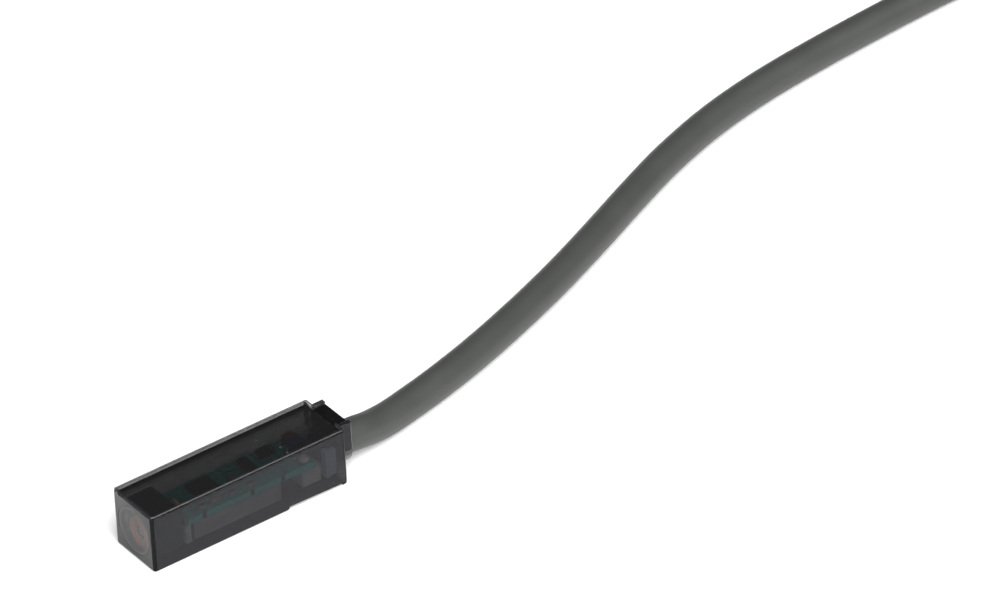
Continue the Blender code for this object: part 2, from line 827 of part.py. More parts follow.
def make_cable():
    """The cable from the housing to the hank, and the hank with its ties and stripped end."""
    tube("cable", smooth_route(ROUTE, ROUTE_STEP), CABLE_DIAMETER, "cable_grey", CABLE_ROUNDNESS)
    hank = make_hank()
    height = HANK_TOP + LOOSE + CABLE_RADIUS
    make_tie("hank_tie_left", -1, hank, height + CABLE_RADIUS + LOOSE)
    make_tie("hank_tie_right", 1, hank, HANK_TOP + LOOSE)

    tail = loop_points(HANK_MIDDLE, height, TAIL_START, TAIL_LENGTH, CABLE_DIAMETER)
    tube("cable_tail", tail, CABLE_DIAMETER, "cable_grey", CABLE_ROUNDNESS)
    begin = TAIL_START + TAIL_LENGTH + 2 * LOOSE
    for place, colour in ((-1, "brown"), (0, "blue"), (1, "black")):
        reach = HANK_MIDDLE + place * CORE_PITCH
        end_reach = reach + place * CORE_FAN
        length = CORE_LENGTH + CORE_STAGGER * place
        points = loop_points(reach, height, begin, length, STRIPPED_STEP, end_reach)
        tube(f"tail_core_{colour}", points, CORE_DIAMETER, f"core_{colour}")
        start = begin + length + 2 * LOOSE
        points = loop_points(end_reach, height, start, TIP_LENGTH, TIP_STEP)
        tube(f"tail_tip_{colour}", points, TIP_DIAMETER, "tinned_steel")


make_housing()
make_lid()
make_lens()
make_optics()
make_board()
make_cable_entry()
make_cable()
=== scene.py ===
# %% [markdown]
# # Finishing a small photoelectric sensor
# The imported model already holds every part at its real size and place. This lesson gives it its
# looks: smoked see-through plastic, a circuit board inside, and two metres of grey cable. We start
# by loading that model as a fixed frame, whose parts' boxes give sizes and places below.

# %% Load the frame
import math

import bmesh
import bpy
from mathutils import Matrix, Vector


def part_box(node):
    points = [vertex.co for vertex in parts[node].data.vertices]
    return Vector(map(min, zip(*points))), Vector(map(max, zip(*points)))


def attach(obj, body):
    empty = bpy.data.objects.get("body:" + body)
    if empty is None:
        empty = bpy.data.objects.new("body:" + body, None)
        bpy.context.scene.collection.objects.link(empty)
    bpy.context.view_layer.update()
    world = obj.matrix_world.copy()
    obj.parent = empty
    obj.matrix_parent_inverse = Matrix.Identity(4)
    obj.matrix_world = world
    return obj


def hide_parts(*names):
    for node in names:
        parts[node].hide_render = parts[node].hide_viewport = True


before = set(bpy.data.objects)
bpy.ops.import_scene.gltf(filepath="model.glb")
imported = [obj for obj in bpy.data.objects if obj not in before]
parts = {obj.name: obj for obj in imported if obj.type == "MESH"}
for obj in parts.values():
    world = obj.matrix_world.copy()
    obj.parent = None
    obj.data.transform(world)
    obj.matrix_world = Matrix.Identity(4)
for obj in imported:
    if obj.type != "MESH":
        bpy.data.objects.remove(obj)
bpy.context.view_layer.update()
MM = 0.001

# %% [markdown]
# ## Camera
# A long lens from far away keeps the edges of the small block almost parallel. The camera is placed
# by its direction from the object (azimuth and elevation), a small roll, its distance, and the
# point it looks at, so that each of them can be read and changed by itself.

# %% Camera
AZIMUTH = 55.68
ELEVATION = 35.39
ROLL = 3.13
DISTANCE = 1.5278
AIM = Vector((9.10, 42.76, 24.15)) * MM
FOCAL_LENGTH = 370.9
SENSOR_WIDTH = 36.0
CLIP_START = 0.05

turn = Matrix.Rotation(math.radians(AZIMUTH), 4, "Z")
turn = turn @ Matrix.Rotation(math.radians(90 - ELEVATION), 4, "X")
turn = turn @ Matrix.Rotation(math.radians(-ROLL), 4, "Z")
eye = AIM + turn.to_3x3() @ Vector((0, 0, DISTANCE))
lens = bpy.data.cameras.new("camera")
lens.lens = FOCAL_LENGTH
lens.sensor_width = SENSOR_WIDTH
lens.clip_start = CLIP_START
camera = bpy.data.objects.new("camera", lens)
camera.matrix_world = Matrix.Translation(eye) @ turn
bpy.context.scene.collection.objects.link(camera)
bpy.context.scene.camera = camera
print("camera at", [round(value, 3) for value in eye])

# %% [markdown]
# ## Materials as expressions
# Shader graphs are easier to read as sums than as boxes and wires. `Field` wraps one socket and
# overloads the operators, so `1 - mask * 0.3` adds its own Math nodes. `Finish` is one material:
# its constant values go straight on the Principled shader, and `node` adds any other node. Many
# finishes here only need one cloudy pattern that sets colour, gloss and bumps together, and
# `cloudy` makes those in one call. The plain colour that each finish starts with is what a viewer
# shows if it can't read the pattern.

# %% The helper classes
class Field:
    """One value or colour that varies over a surface."""

    def __init__(self, finish, socket):
        self.finish = finish
        self.socket = socket

    def __add__(self, other):
        return self.finish.maths("ADD", self, other)

    def __radd__(self, other):
        return self.finish.maths("ADD", other, self)

    def __sub__(self, other):
        return self.finish.maths("SUBTRACT", self, other)

    def __rsub__(self, other):
        return self.finish.maths("SUBTRACT", other, self)

    def __mul__(self, other):
        return self.finish.maths("MULTIPLY", self, other)

    def __rmul__(self, other):
        return self.finish.maths("MULTIPLY", other, self)

    def __pow__(self, other):
        return self.finish.maths("POWER", self, other)

    def above(self, limit):
        return self.finish.maths("GREATER_THAN", self, limit)

    def between(self, low, high):
        """0 at low, 1 at high, smooth in between."""
        made = self.finish.node(
            "ShaderNodeMapRange",
            {"interpolation_type": "SMOOTHSTEP"},
            {"Value": self, "From Min": low, "From Max": high},
        )
        return made["Result"]


class Made:
    """A node's outputs, by name or number."""

    def __init__(self, finish, node):
        self.finish = finish
        self.node = node

    def __getitem__(self, key):
        return Field(self.finish, self.node.outputs[key])


class Finish:
    """A Principled material with its constants on the shader's own sockets."""

    def __init__(self, name, colour, roughness, **constants):
        self.material = bpy.data.materials.new(name)
        self.material.use_nodes = True
        self.tree = self.material.node_tree
        self.shader = self.tree.nodes["Principled BSDF"]
        self.set("Base Color", colour)
        self.set("Roughness", roughness)
        for key, value in constants.items():
            self.set(key.replace("_", " "), value)

    def set(self, socket, value):
        self.fill(self.shader.inputs[socket], value)

    def fill(self, socket, value):
        if isinstance(value, Field):
            self.tree.links.new(value.socket, socket)
        elif socket.type == "RGBA":
            socket.default_value = (*value, 1.0)
        else:
            socket.default_value = value

    def node(self, kind, settings=None, inputs=None):
        made = self.tree.nodes.new(kind)
        for key, value in (settings or {}).items():
            setattr(made, key, value)
        for key, value in (inputs or {}).items():
            self.fill(made.inputs[key], value)
        return Made(self, made)

    def maths(self, operation, *values):
        return self.node("ShaderNodeMath", {"operation": operation}, dict(enumerate(values)))[0]

    def place(self):
        """Object coordinates, which are the frame's own metres on every piece here."""
        return self.node("ShaderNodeTexCoord")["Object"]

    def noise(self, size, detail=3.0, stretch=(1, 1, 1), roughness=0.5):
        """Cloudy values with features of about `size` metres."""
        spots = self.node(
            "ShaderNodeMapping", None, {"Vector": self.place(), "Scale": [s / size for s in stretch]}
        )
        made = self.node(
            "ShaderNodeTexNoise",
            None,
            {"Vector": spots["Vector"], "Scale": 1.0, "Detail": detail, "Roughness": roughness},
        )
        return made[0]

    def mix(self, share, one, two):
        """A colour between two colours."""
        made = self.node("ShaderNodeMix", {"data_type": "RGBA"}, {0: share, 6: one, 7: two})
        return made[2]

    def bump(self, height, strength, distance=0.0001):
        made = self.node(
            "ShaderNodeBump", None, {"Height": height, "Strength": strength, "Distance": distance}
        )
        self.set("Normal", made["Normal"])


def cloudy(name, plain, size, tones, gloss, relief=None, detail=3.0, stretch=(1, 1, 1), **constants):
    """A finish whose colour, roughness and bumps follow one cloudy pattern.

    `plain` is a colour and a roughness, `tones` are the two colours, `gloss` is the lowest
    roughness and its spread, and `relief` is the strength and depth of the bumps.
    """
    finish = Finish(name, *plain, **constants)
    spots = finish.noise(size, detail, stretch)
    finish.set("Base Color", finish.mix(spots, *tones))
    finish.set("Roughness", gloss[0] + gloss[1] * spots)
    if relief:
        finish.bump(spots, *relief)
    return finish


print("helpers ready")

# %% [markdown]
# ## Studio
# The sensor lies on a plain white bench. One wide soft sun from above lights the bench evenly, and
# a dim sky gives the glossy lid something dark to reflect while the sides reflect the white bench.

# %% Bench and light
BENCH_HALF = 3.0
BENCH_DROP = 0.00002
SUN_STRENGTH = 5.9
SUN_WIDTH = 60
TOWARDS_SUN = Vector((0.64, -0.2, 0.74))
SKY_STOPS = [(0.0, 0.5), (0.3, 0.2), (0.5, 0.1), (0.72, 0.12), (0.95, 0.5)]

bench_mesh = bpy.data.meshes.new("bench")
bench_shape = bmesh.new()
bmesh.ops.create_grid(bench_shape, x_segments=1, y_segments=1, size=BENCH_HALF)
bench_shape.to_mesh(bench_mesh)
bench_shape.free()
bench = bpy.data.objects.new("bench", bench_mesh)
bench.location.z = -BENCH_DROP
bpy.context.scene.collection.objects.link(bench)
bench_paint = Finish("bench_paint", (0.93, 0.93, 0.93), 0.9, Specular_IOR_Level=0.1)
bench_mesh.materials.append(bench_paint.material)

sun = bpy.data.lights.new("soft_sun", "SUN")
sun.energy = SUN_STRENGTH
sun.angle = math.radians(SUN_WIDTH)
sun_object = bpy.data.objects.new("soft_sun", sun)
sun_object.rotation_euler = TOWARDS_SUN.to_track_quat("Z", "Y").to_euler()
bpy.context.scene.collection.objects.link(sun_object)

world = bpy.data.worlds.new("sky")
world.use_nodes = True
bpy.context.scene.world = world
nodes = world.node_tree.nodes
links = world.node_tree.links
spot = nodes.new("ShaderNodeTexCoord")
split = nodes.new("ShaderNodeSeparateXYZ")
ramp = nodes.new("ShaderNodeValToRGB")
links.new(spot.outputs["Generated"], split.inputs["Vector"])
links.new(split.outputs["Z"], ramp.inputs["Fac"])
links.new(ramp.outputs["Color"], nodes["Background"].inputs["Color"])
while len(ramp.color_ramp.elements) < len(SKY_STOPS):
    ramp.color_ramp.elements.new(1.0)
for element, (place, grey) in zip(ramp.color_ramp.elements, SKY_STOPS):
    element.position = place
    element.color = (grey, grey, grey, 1.0)
bpy.context.scene.view_settings.view_transform = "Standard"
print("bench and light ready")

# %% [markdown]
# ## The cable
# The lead is two metres of round three-core cable. It leaves the collar level, sinks to the bench
# under its own weight, bends away in one long S, and what is left over is folded into a hank of six
# loops. The route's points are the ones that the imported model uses. A smooth curve through them,
# and loops worked out by a formula, make one long line that a round section follows.

# %% Route of the cable
CABLE_DIAMETER = 5.2
CABLE_LENGTH = 2.0
CABLE_HEIGHT = 4.5
CABLE_END = 14.65
REAR_END = 18.5
LYING = CABLE_DIAMETER / 2 + 0.02
SEAT = 0.05
FIT = 0.1
LOOSE = 0.3
PITCH = CABLE_DIAMETER + SEAT
HANK_START = Vector((-18.6, 198.0, 0.0))
HANK_RUN = 84.0
HANK_FOLD = 15.8
HANK_LAST = HANK_FOLD + PITCH
HANK_MIDDLE = (HANK_FOLD + HANK_LAST) / 2
TIE_PLACE = 0.62
TIE_THICKNESS = 0.9
ENTRY_X = HANK_START.x - HANK_LAST
ROUTE = [
    (0.0, CABLE_END, CABLE_HEIGHT),
    (0.0, REAR_END - 1.0, CABLE_HEIGHT),
    (-0.1, 21.6, 4.1),
    (-0.6, 24.6, 3.4),
    (-1.4, 28.2, 2.85),
    (-2.4, 32.2, LYING),
    (-4.0, 39.0, LYING),
    (-6.6, 48.0, LYING),
    (-10.0, 57.8, LYING),
    (-14.4, 69.0, LYING),
    (-19.4, 80.2, LYING),
    (-24.6, 91.2, LYING),
    (-29.2, 101.6, LYING),
    (-33.2, 113.3, LYING),
    (-35.8, 125.0, LYING),
    (-37.4, 137.0, LYING),
    (-38.6, 150.0, LYING),
    (-39.4, 162.0, LYING),
    (ENTRY_X, 172.0, LYING),
    (ENTRY_X, 184.0, LYING),
    (ENTRY_X, HANK_START.y, LYING),
]


def smooth(points, per_span):
    """Points on a smooth curve through the given ones."""
    route = [Vector(point) for point in points]
    last = len(route) - 1
    slopes = []
    for index in range(last + 1):
        ahead = route[min(index + 1, last)]
        behind = route[max(index - 1, 0)]
        slopes.append((ahead - behind).normalized())
    line = []
    for one, two, lead, trail in zip(route, route[1:], slopes, slopes[1:]):
        span = (two - one).length
        for part in range(per_span):
            t = part / per_span
            line.append(
                one * (2 * t**3 - 3 * t**2 + 1)
                + lead * (span * (t**3 - 2 * t**2 + t))
                + two * (3 * t**2 - 2 * t**3)
                + trail * (span * (t**3 - t**2))
            )
    return line + [route[-1]]


def length_of(points):
    return sum((two - one).length for one, two in zip(points, points[1:]))


SPAN_PARTS = 5
free_run = smooth(ROUTE, SPAN_PARTS)
print("free run:", round(length_of(free_run), 1), "mm in", len(free_run), "points")

# %% [markdown]
# ## The hank
# Each loop is two straight runs and two round ends. The outer and the inner column take turns, so
# the cable steps sideways or up at the near end of a loop and never crosses itself. Under each tie
# the loops rise by the strap's thickness, because the strap passes beneath them. The straight runs
# also sway a little, as cable does.

# %% Loops of the hank
LOOPS = 6
LOOP_STEPS = 60
STEP_SHARE = 0.16
RISE_REACH = 9.0
SWAY = 0.22
SWAY_WAVE = 13.0
SWAY_REACH = 38.0
LOOP = 2 * HANK_RUN + 2 * math.pi * HANK_MIDDLE
TAIL_HEIGHT = LOOPS // 2 * PITCH + FIT + LOOSE + CABLE_DIAMETER / 2


def fade(distance, reach):
    return math.exp(-((distance / reach) ** 2))


def sway_at(y, height):
    return SWAY * math.sin(y / SWAY_WAVE + height)


def loop_place(along, reach, height):
    """A point on a loop, measured from the left run's near end, clockwise from above."""
    bend = math.pi * HANK_MIDDLE
    if along <= HANK_RUN:
        x, y = -reach, along
    elif along <= HANK_RUN + bend:
        angle = (along - HANK_RUN) / HANK_MIDDLE
        x, y = -reach * math.cos(angle), HANK_RUN + reach * math.sin(angle)
    elif along <= 2 * HANK_RUN + bend:
        x, y = reach, HANK_RUN - (along - HANK_RUN - bend)
    else:
        angle = (along - 2 * HANK_RUN - bend) / HANK_MIDDLE
        x, y = reach * math.cos(angle), -reach * math.sin(angle)
    rise = TIE_THICKNESS * fade(y - TIE_PLACE * HANK_RUN, RISE_REACH)
    sway = sway_at(y, height) * fade(y - HANK_RUN / 2, SWAY_REACH)
    return HANK_START + Vector((x + sway, y, height + rise))


def ease(share):
    share = min(max(share, 0.0), 1.0)
    return share * share * (3 - 2 * share)


columns = [HANK_LAST, HANK_FOLD, HANK_FOLD, HANK_LAST, HANK_LAST, HANK_FOLD, HANK_FOLD]
heights = [LYING + PITCH * (loop // 2) for loop in range(LOOPS)]
heights.append(heights[-1])
wound = []
for loop in range(LOOPS):
    for step in range(1, LOOP_STEPS + 1):
        share = step / LOOP_STEPS
        shift = ease((share - 1 + STEP_SHARE) / STEP_SHARE)
        reach = columns[loop] + (columns[loop + 1] - columns[loop]) * shift
        height = heights[loop] + (heights[loop + 1] - heights[loop]) * shift
        wound.append(loop_place(LOOP * share, reach, height))
print("six loops:", round(length_of(wound), 1), "mm")

# %% [markdown]
# The last stretch climbs onto the hank and lies along its left run. Its end is wherever two metres
# are used up, so the cable's length is right whatever the loops come to.

# %% Tail of the cable, and the whole line
TAIL_STEPS = 30
CLIMB = 27.0
left = CABLE_LENGTH / MM - length_of(free_run + wound)
tail = []
for step in range(1, TAIL_STEPS + 1):
    along = left * step / TAIL_STEPS
    climb = ease(along / CLIMB)
    reach = HANK_FOLD + (HANK_MIDDLE - HANK_FOLD) * climb
    height = heights[-1] + (TAIL_HEIGHT - heights[-1]) * climb
    tail.append(loop_place(along, reach, height))
line = free_run + wound + tail
print("tail:", round(left, 1), "mm, cable:", round(length_of(line), 1), "mm,", len(line), "points")


def round_line(name, paths, diameter, finish, smoothness=4):
    """A curve along one or more paths, with a round section and closed ends."""
    shape = bpy.data.curves.new(name, "CURVE")
    shape.dimensions = "3D"
    shape.bevel_depth = diameter / 2 * MM
    shape.bevel_resolution = smoothness
    shape.use_fill_caps = True
    for points in paths:
        spline = shape.splines.new("POLY")
        spline.points.add(len(points) - 1)
        spline.use_smooth = True
        for target, point in zip(spline.points, points):
            target.co = (*(Vector(point) * MM), 1.0)
    shape.materials.append(finish.material)
    made = bpy.data.objects.new(name, shape)
    bpy.context.scene.collection.objects.link(made)
    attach(made, "root")
    return made


# %% [markdown]
# ## Jacket finish
# The jacket is soft grey plastic with a slight green cast. It is extruded, so it carries very fine
# lengthwise streaks and a little unevenness, and it is dull rather than glossy.

# %% Jacket
jacket = Finish("jacket_grey", (0.05, 0.052, 0.049), 0.45, Specular_IOR_Level=0.4)
clouds = jacket.noise(0.006, 2.0)
grain = jacket.noise(0.0002, 2.0)
tone = jacket.mix(clouds, (0.035, 0.0375, 0.0345), (0.046, 0.048, 0.0445))
jacket.set("Base Color", tone)
jacket.set("Roughness", 0.4 + 0.16 * clouds)
jacket.bump(grain * 0.08 + clouds, 0.25, 0.0003)
cable = round_line("sensor_cable", [line], CABLE_DIAMETER, jacket, 6)
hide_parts("cable", "cable_hank", "cable_tail")
print("cable made")


# %% [markdown]
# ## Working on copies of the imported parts
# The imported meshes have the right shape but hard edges, and real moulded parts have tiny rounded
# edges that catch the light. So each part is copied, its flat faces are joined up again, detail
# is added in bmesh, and a small bevel with weighted normals gives the rounding.

# %% Copying and showing
SAME_PLACE = 0.002
FLAT_WITHIN = 1.0
LONG_EDGE = 0.6


def copy_of(node):
    """A working copy of a part's mesh with its flat faces joined up."""
    shape = bmesh.new()
    shape.from_mesh(parts[node].data)
    bmesh.ops.remove_doubles(shape, verts=shape.verts, dist=SAME_PLACE * MM)
    for face in shape.faces:
        face.material_index = 0
    bmesh.ops.dissolve_limit(
        shape, angle_limit=math.radians(FLAT_WITHIN), verts=shape.verts, edges=shape.edges
    )
    return shape


def settle(piece):
    """Applies the piece's modifiers, so that its mesh is the final shape."""
    bpy.context.view_layer.update()
    graph = bpy.context.evaluated_depsgraph_get()
    final = bpy.data.meshes.new_from_object(
        piece.evaluated_get(graph), preserve_all_data_layers=True, depsgraph=graph
    )
    piece.modifiers.clear()
    piece.data = final


def show(name, shape, finishes, stands_for, edge, segments=2, angle=30.0, edge_slot=-1):
    """Turns a bmesh into a finished piece that rides on the body.

    With an edge_slot, only the long edges are rounded, and they get that finish.
    """
    if edge_slot >= 0:
        weights = shape.edges.layers.float.new("bevel_weight_edge")
        for line in shape.edges:
            sharp = line.calc_face_angle(0.0) > math.radians(angle)
            if sharp and line.calc_length() > LONG_EDGE * MM:
                line[weights] = 1.0
    bmesh.ops.recalc_face_normals(shape, faces=shape.faces)
    mesh = bpy.data.meshes.new(name)
    shape.to_mesh(mesh)
    shape.free()
    mesh.shade_smooth()
    for finish in finishes:
        mesh.materials.append(finish.material)
    piece = bpy.data.objects.new(name, mesh)
    bpy.context.scene.collection.objects.link(piece)
    if edge:
        bevel = piece.modifiers.new("edges", "BEVEL")
        bevel.width = edge * MM
        bevel.segments = segments
        bevel.limit_method = "WEIGHT" if edge_slot >= 0 else "ANGLE"
        bevel.angle_limit = math.radians(angle)
        bevel.use_clamp_overlap = edge_slot < 0
        bevel.material = edge_slot
        bevel.loop_slide = False
    normals = piece.modifiers.new("normals", "WEIGHTED_NORMAL")
    normals.weight = 100
    settle(piece)
    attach(piece, "root")
    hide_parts(*stands_for)
    return piece


def box_of(node):
    """The corners of a part in millimetres."""
    low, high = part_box(node)
    return Vector(low) / MM, Vector(high) / MM


print("housing box in mm:", [[round(v, 2) for v in corner] for corner in box_of("housing")])

# %% [markdown]
# ## Shape helpers
# Four small builders cover nearly everything inside the sensor: blocks, turned shapes, bent strips
# of sheet for leads and straps, and moulded blocks whose sides lean, as a chip's do so that it
# leaves its mould.

# %% Blocks, turned shapes and strips
def block(shape, low, high, slot=0):
    low, high = Vector(low) * MM, Vector(high) * MM
    size = high - low
    place = Matrix.Translation((low + high) / 2) @ Matrix.Diagonal((*size, 1.0))
    made = bmesh.ops.create_cube(shape, size=1.0, matrix=place)
    for face in {face for vert in made["verts"] for face in vert.link_faces}:
        face.material_index = slot


def skin(shape, rings, slot, closed=False):
    """Joins rings of vertices with the same count into a skin."""
    faces = []
    pairs = list(zip(rings, rings[1:]))
    if closed:
        pairs.append((rings[-1], rings[0]))
    for one, two in pairs:
        if len(one) == 1 or len(two) == 1:
            tip = one[0] if len(one) == 1 else two[0]
            rim = two if len(one) == 1 else one
            for first, second in zip(rim, rim[1:] + rim[:1]):
                faces.append(shape.faces.new((tip, first, second)))
            continue
        for a, b, c, d in zip(one, one[1:] + one[:1], two[1:] + two[:1], two):
            faces.append(shape.faces.new((a, b, c, d)))
    if not closed:
        for ring in (rings[0], rings[-1]):
            if len(ring) > 2:
                faces.append(shape.faces.new(ring))
    for face in faces:
        face.material_index = slot


def turned(shape, outline, centre, axis="Y", sides=48, closed=False):
    """Turns (radius, distance) pairs round an axis through the centre."""
    rings = []
    for radius, distance in outline:
        count = sides if radius > 0 else 1
        ring = []
        for number in range(count):
            angle = 2 * math.pi * number / sides
            across, up = radius * math.cos(angle), radius * math.sin(angle)
            offset = (across, distance, up) if axis == "Y" else (across, up, distance)
            ring.append(shape.verts.new((Vector(centre) + Vector(offset)) * MM))
        rings.append(ring)
    skin(shape, rings, 0, closed)


def strip(shape, path, across, width, thickness, slot=0, closed=False):
    """A bent strip of sheet along a path, with its width along `across`."""
    path = [Vector(point) for point in path]
    across = Vector(across).normalized()
    rings = []
    last = len(path) - 1
    for number, point in enumerate(path):
        if closed:
            ahead, behind = path[(number + 1) % len(path)], path[number - 1]
        else:
            ahead, behind = path[min(number + 1, last)], path[max(number - 1, 0)]
        side = (ahead - behind).normalized().cross(across) * (thickness / 2)
        half = across * (width / 2)
        corners = (-half - side, half - side, half + side, side - half)
        rings.append([shape.verts.new((point + corner) * MM) for corner in corners])
    skin(shape, rings, slot, closed)


def moulded(shape, low, high, lean):
    """A block with a parting line at mid height, from which its sides lean inwards."""
    low, high = Vector(low), Vector(high)
    rings = []
    for share, inset in ((0.0, lean), (0.45, 0.0), (0.55, 0.0), (1.0, lean)):
        z = low.z + (high.z - low.z) * share
        ring = [
            (low.x + inset, low.y + inset, z),
            (high.x - inset, low.y + inset, z),
            (high.x - inset, high.y - inset, z),
            (low.x + inset, high.y - inset, z),
        ]
        rings.append([shape.verts.new(Vector(corner) * MM) for corner in ring])
    skin(shape, rings, 0)


print("builders ready")

# %% [markdown]
# ## Smoked plastic
# The case is moulded in a clear plastic that is tinted almost black, so that only a hint of the
# board shows. True refraction through nested walls is slow and noisy, and an exported model can't
# carry it. So the outer skin is a dark glossy surface with partial alpha, and the inner faces are
# almost invisible. Flow marks, faint scuffs and a few specks of dust break the gloss. The thin rim
# round the cover is clearer. Its rounded edges get a lighter tint, which is a painted highlight, and a
# high IOR that strengthens their real reflection. The upright corners are nearly black, a painted
# shade.

# %% Smoked skins
DOTS_PER_METRE = 520.0
DUST_SIZE = 0.035
DUST_COLOUR = (0.22, 0.22, 0.21)


def smoked(name, alpha, tint=(0.006, 0.006, 0.0065), gloss=0.06, ior=1.6):
    finish = Finish(name, tint, gloss, IOR=ior)
    flow = finish.noise(0.0022, 2.0, (1.0, 0.22, 1.0))
    haze = finish.noise(0.0006, 3.0)
    scuffs = finish.noise(0.0005, 4.0, (1.0, 0.06, 1.6), 0.7).between(0.66, 0.74)
    dots = finish.node(
        "ShaderNodeTexVoronoi", {"feature": "F1"}, {"Vector": finish.place(), "Scale": DOTS_PER_METRE}
    )
    sizes = finish.noise(0.004, 0.0)
    dust = (DUST_SIZE * sizes.between(0.45, 0.7) - dots["Distance"]).above(0.0)
    finish.set("Base Color", finish.mix(dust, tint, DUST_COLOUR))
    finish.set("Roughness", gloss + 0.05 * haze + 0.16 * scuffs + 0.3 * dust)
    finish.set("Alpha", alpha * (0.94 + 0.08 * flow) + dust * (1 - alpha))
    finish.bump(flow * 0.7 + haze * 0.12, 0.1, 0.00004)
    return finish


def inner_skin(name, alpha):
    finish = Finish(name, (0.01, 0.01, 0.011), 0.3, IOR=1.45)
    haze = finish.noise(0.0015, 3.0)
    finish.set("Alpha", alpha * (0.7 + 0.6 * haze))
    finish.set("Roughness", 0.2 + 0.25 * haze)
    return finish


case_skin = smoked("case_smoked", 0.85, (0.006, 0.006, 0.0085), ior=1.36)
case_front = smoked("case_front", 0.85, ior=1.44)
case_inside = inner_skin("case_inside", 0.08)
cover_skin = smoked("cover_smoked", 0.89, gloss=0.045, ior=1.5)
cover_inside = inner_skin("cover_inside", 0.05)
# Edge skin: its lighter tint is a painted highlight, and its high IOR strengthens the real reflection.
painted_highlight_edge = smoked("rim_edge_painted_highlight", 0.93, (0.025, 0.025, 0.026), gloss=0.2, ior=2.3)
thin_rim = smoked("rim_thin", 0.12, (0.02, 0.02, 0.021), gloss=0.08, ior=1.6)
# Nearly black skin with weak reflection: painted shade on the corners, the gate's wall and the tongue.
painted_shade_skin = smoked("corner_painted_shade", 0.98, (0.004, 0.004, 0.0045), ior=1.2)
print("smoked skins ready")

# %% [markdown]
# ## Case and cover
# The case is one moulding: an open tray with a stepped rim, a collar for the cable and a recess
# underneath for its mounting clip. Its faces are sorted by where they are: those towards the room
# inside get the faint inner skin, and the others get the glossy one.

# %% Case
case_low, case_high = box_of("housing")
lid_high = box_of("lid")[1]
WALL = 1.0
FRONT_WALL = 0.8
FLOOR = 1.5
RIM = 0.5
COLLAR_LENGTH = 2.0
LID_THICKNESS = 0.8
NEAR = 0.03
ROOM_HALF = case_high.x - WALL
ROOM_FRONT = case_low.y + FRONT_WALL
BODY_REAR = case_high.y - COLLAR_LENGTH
ROOM_REAR = BODY_REAR - WALL
LID_UNDER = lid_high.z - LID_THICKNESS
THIN_SHARE = 0.9
THIN_FROM = case_high.z - RIM * THIN_SHARE


def faces_the_room(face):
    middle = face.calc_center_median() / MM
    return (
        abs(middle.x) < ROOM_HALF + NEAR
        and ROOM_FRONT - NEAR < middle.y < ROOM_REAR + NEAR
        and FLOOR - NEAR < middle.z < LID_UNDER - NEAR
    )


CASE_FINISHES = [case_skin, case_inside, case_front, painted_highlight_edge, painted_shade_skin, thin_rim]
SKIN, INSIDE, FRONT, EDGE, CORNER, THIN = range(len(CASE_FINISHES))


def case_slot(face):
    middle = face.calc_center_median() / MM
    upright = abs(face.normal.z) < 0.3
    if middle.z > THIN_FROM + 0.01 and middle.y < BODY_REAR and abs(face.normal.z) < 0.5:
        return THIN
    if faces_the_room(face):
        return INSIDE
    if face.normal.y < -0.95 and middle.y < case_low.y + NEAR:
        return FRONT
    # Sloped faces along the top get the edge skin with its painted highlight.
    if middle.z > case_high.z - 0.2 and 0.2 < face.normal.z < 0.98:
        return EDGE
    # Upright faces turned partly sideways, at the rounded corners, get the painted shade skin.
    return CORNER if upright and 0.2 < abs(face.normal.x) < 0.98 else SKIN


case_shape = copy_of("housing")
bmesh.ops.bisect_plane(
    case_shape,
    geom=list(case_shape.verts) + list(case_shape.edges) + list(case_shape.faces),
    plane_co=(0, 0, THIN_FROM * MM),
    plane_no=(0, 0, 1),
    dist=1e-7,
)
for face in case_shape.faces:
    face.material_index = case_slot(face)
inside_count = sum(face.material_index == INSIDE for face in case_shape.faces)
case = show(
    "case", case_shape, CASE_FINISHES, ["housing"], edge=0.12, edge_slot=EDGE
)
print("case faces inside:", inside_count, "all:", len(case.data.polygons))

# %% [markdown]
# The cover drops into the rim and is glued, so a thin dark joint runs all round it. A shallow round
# mark in its middle is where the plastic entered the mould. The underside gets the inner skin. The
# mark's wall and the tongue over the cable get a nearly black skin, which is painted shade.

# %% Cover
GATE_DEPTH = 0.12
GATE_REACH = 2.4
COVER_FINISHES = [cover_skin, cover_inside, painted_highlight_edge, painted_shade_skin]
UNDERSIDE, SHINING, DARK = 1, 2, 3
cover_shape = copy_of("lid")
for face in cover_shape.faces:
    middle = face.calc_center_median() / MM
    upright = abs(face.normal.z) < 0.3
    on_gate = abs(middle.x) < GATE_REACH and -GATE_DEPTH < middle.z - lid_high.z < -0.01
    if face.normal.z < -0.9 and abs(middle.z - LID_UNDER) < NEAR:
        face.material_index = UNDERSIDE
    # The gate's wall and the tongue over the cable get the painted shade skin.
    if (upright and on_gate) or middle.y > BODY_REAR - RIM:
        face.material_index = DARK
# The cover's long edges get the edge skin with its painted highlight.
cover = show(
    "cover", cover_shape, COVER_FINISHES, ["lid"], edge=0.04, edge_slot=SHINING
)
print("cover:", len(cover.data.polygons), "faces")

# %% [markdown]
# ## Window and aperture ring
# The sensor looks out through a flat round window, which is clearer than the case. Behind it sits
# a reddish ring that limits the beam. Its front carries fine turned steps that keep stray light
# away, so it is built as a turned outline with those steps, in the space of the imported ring.

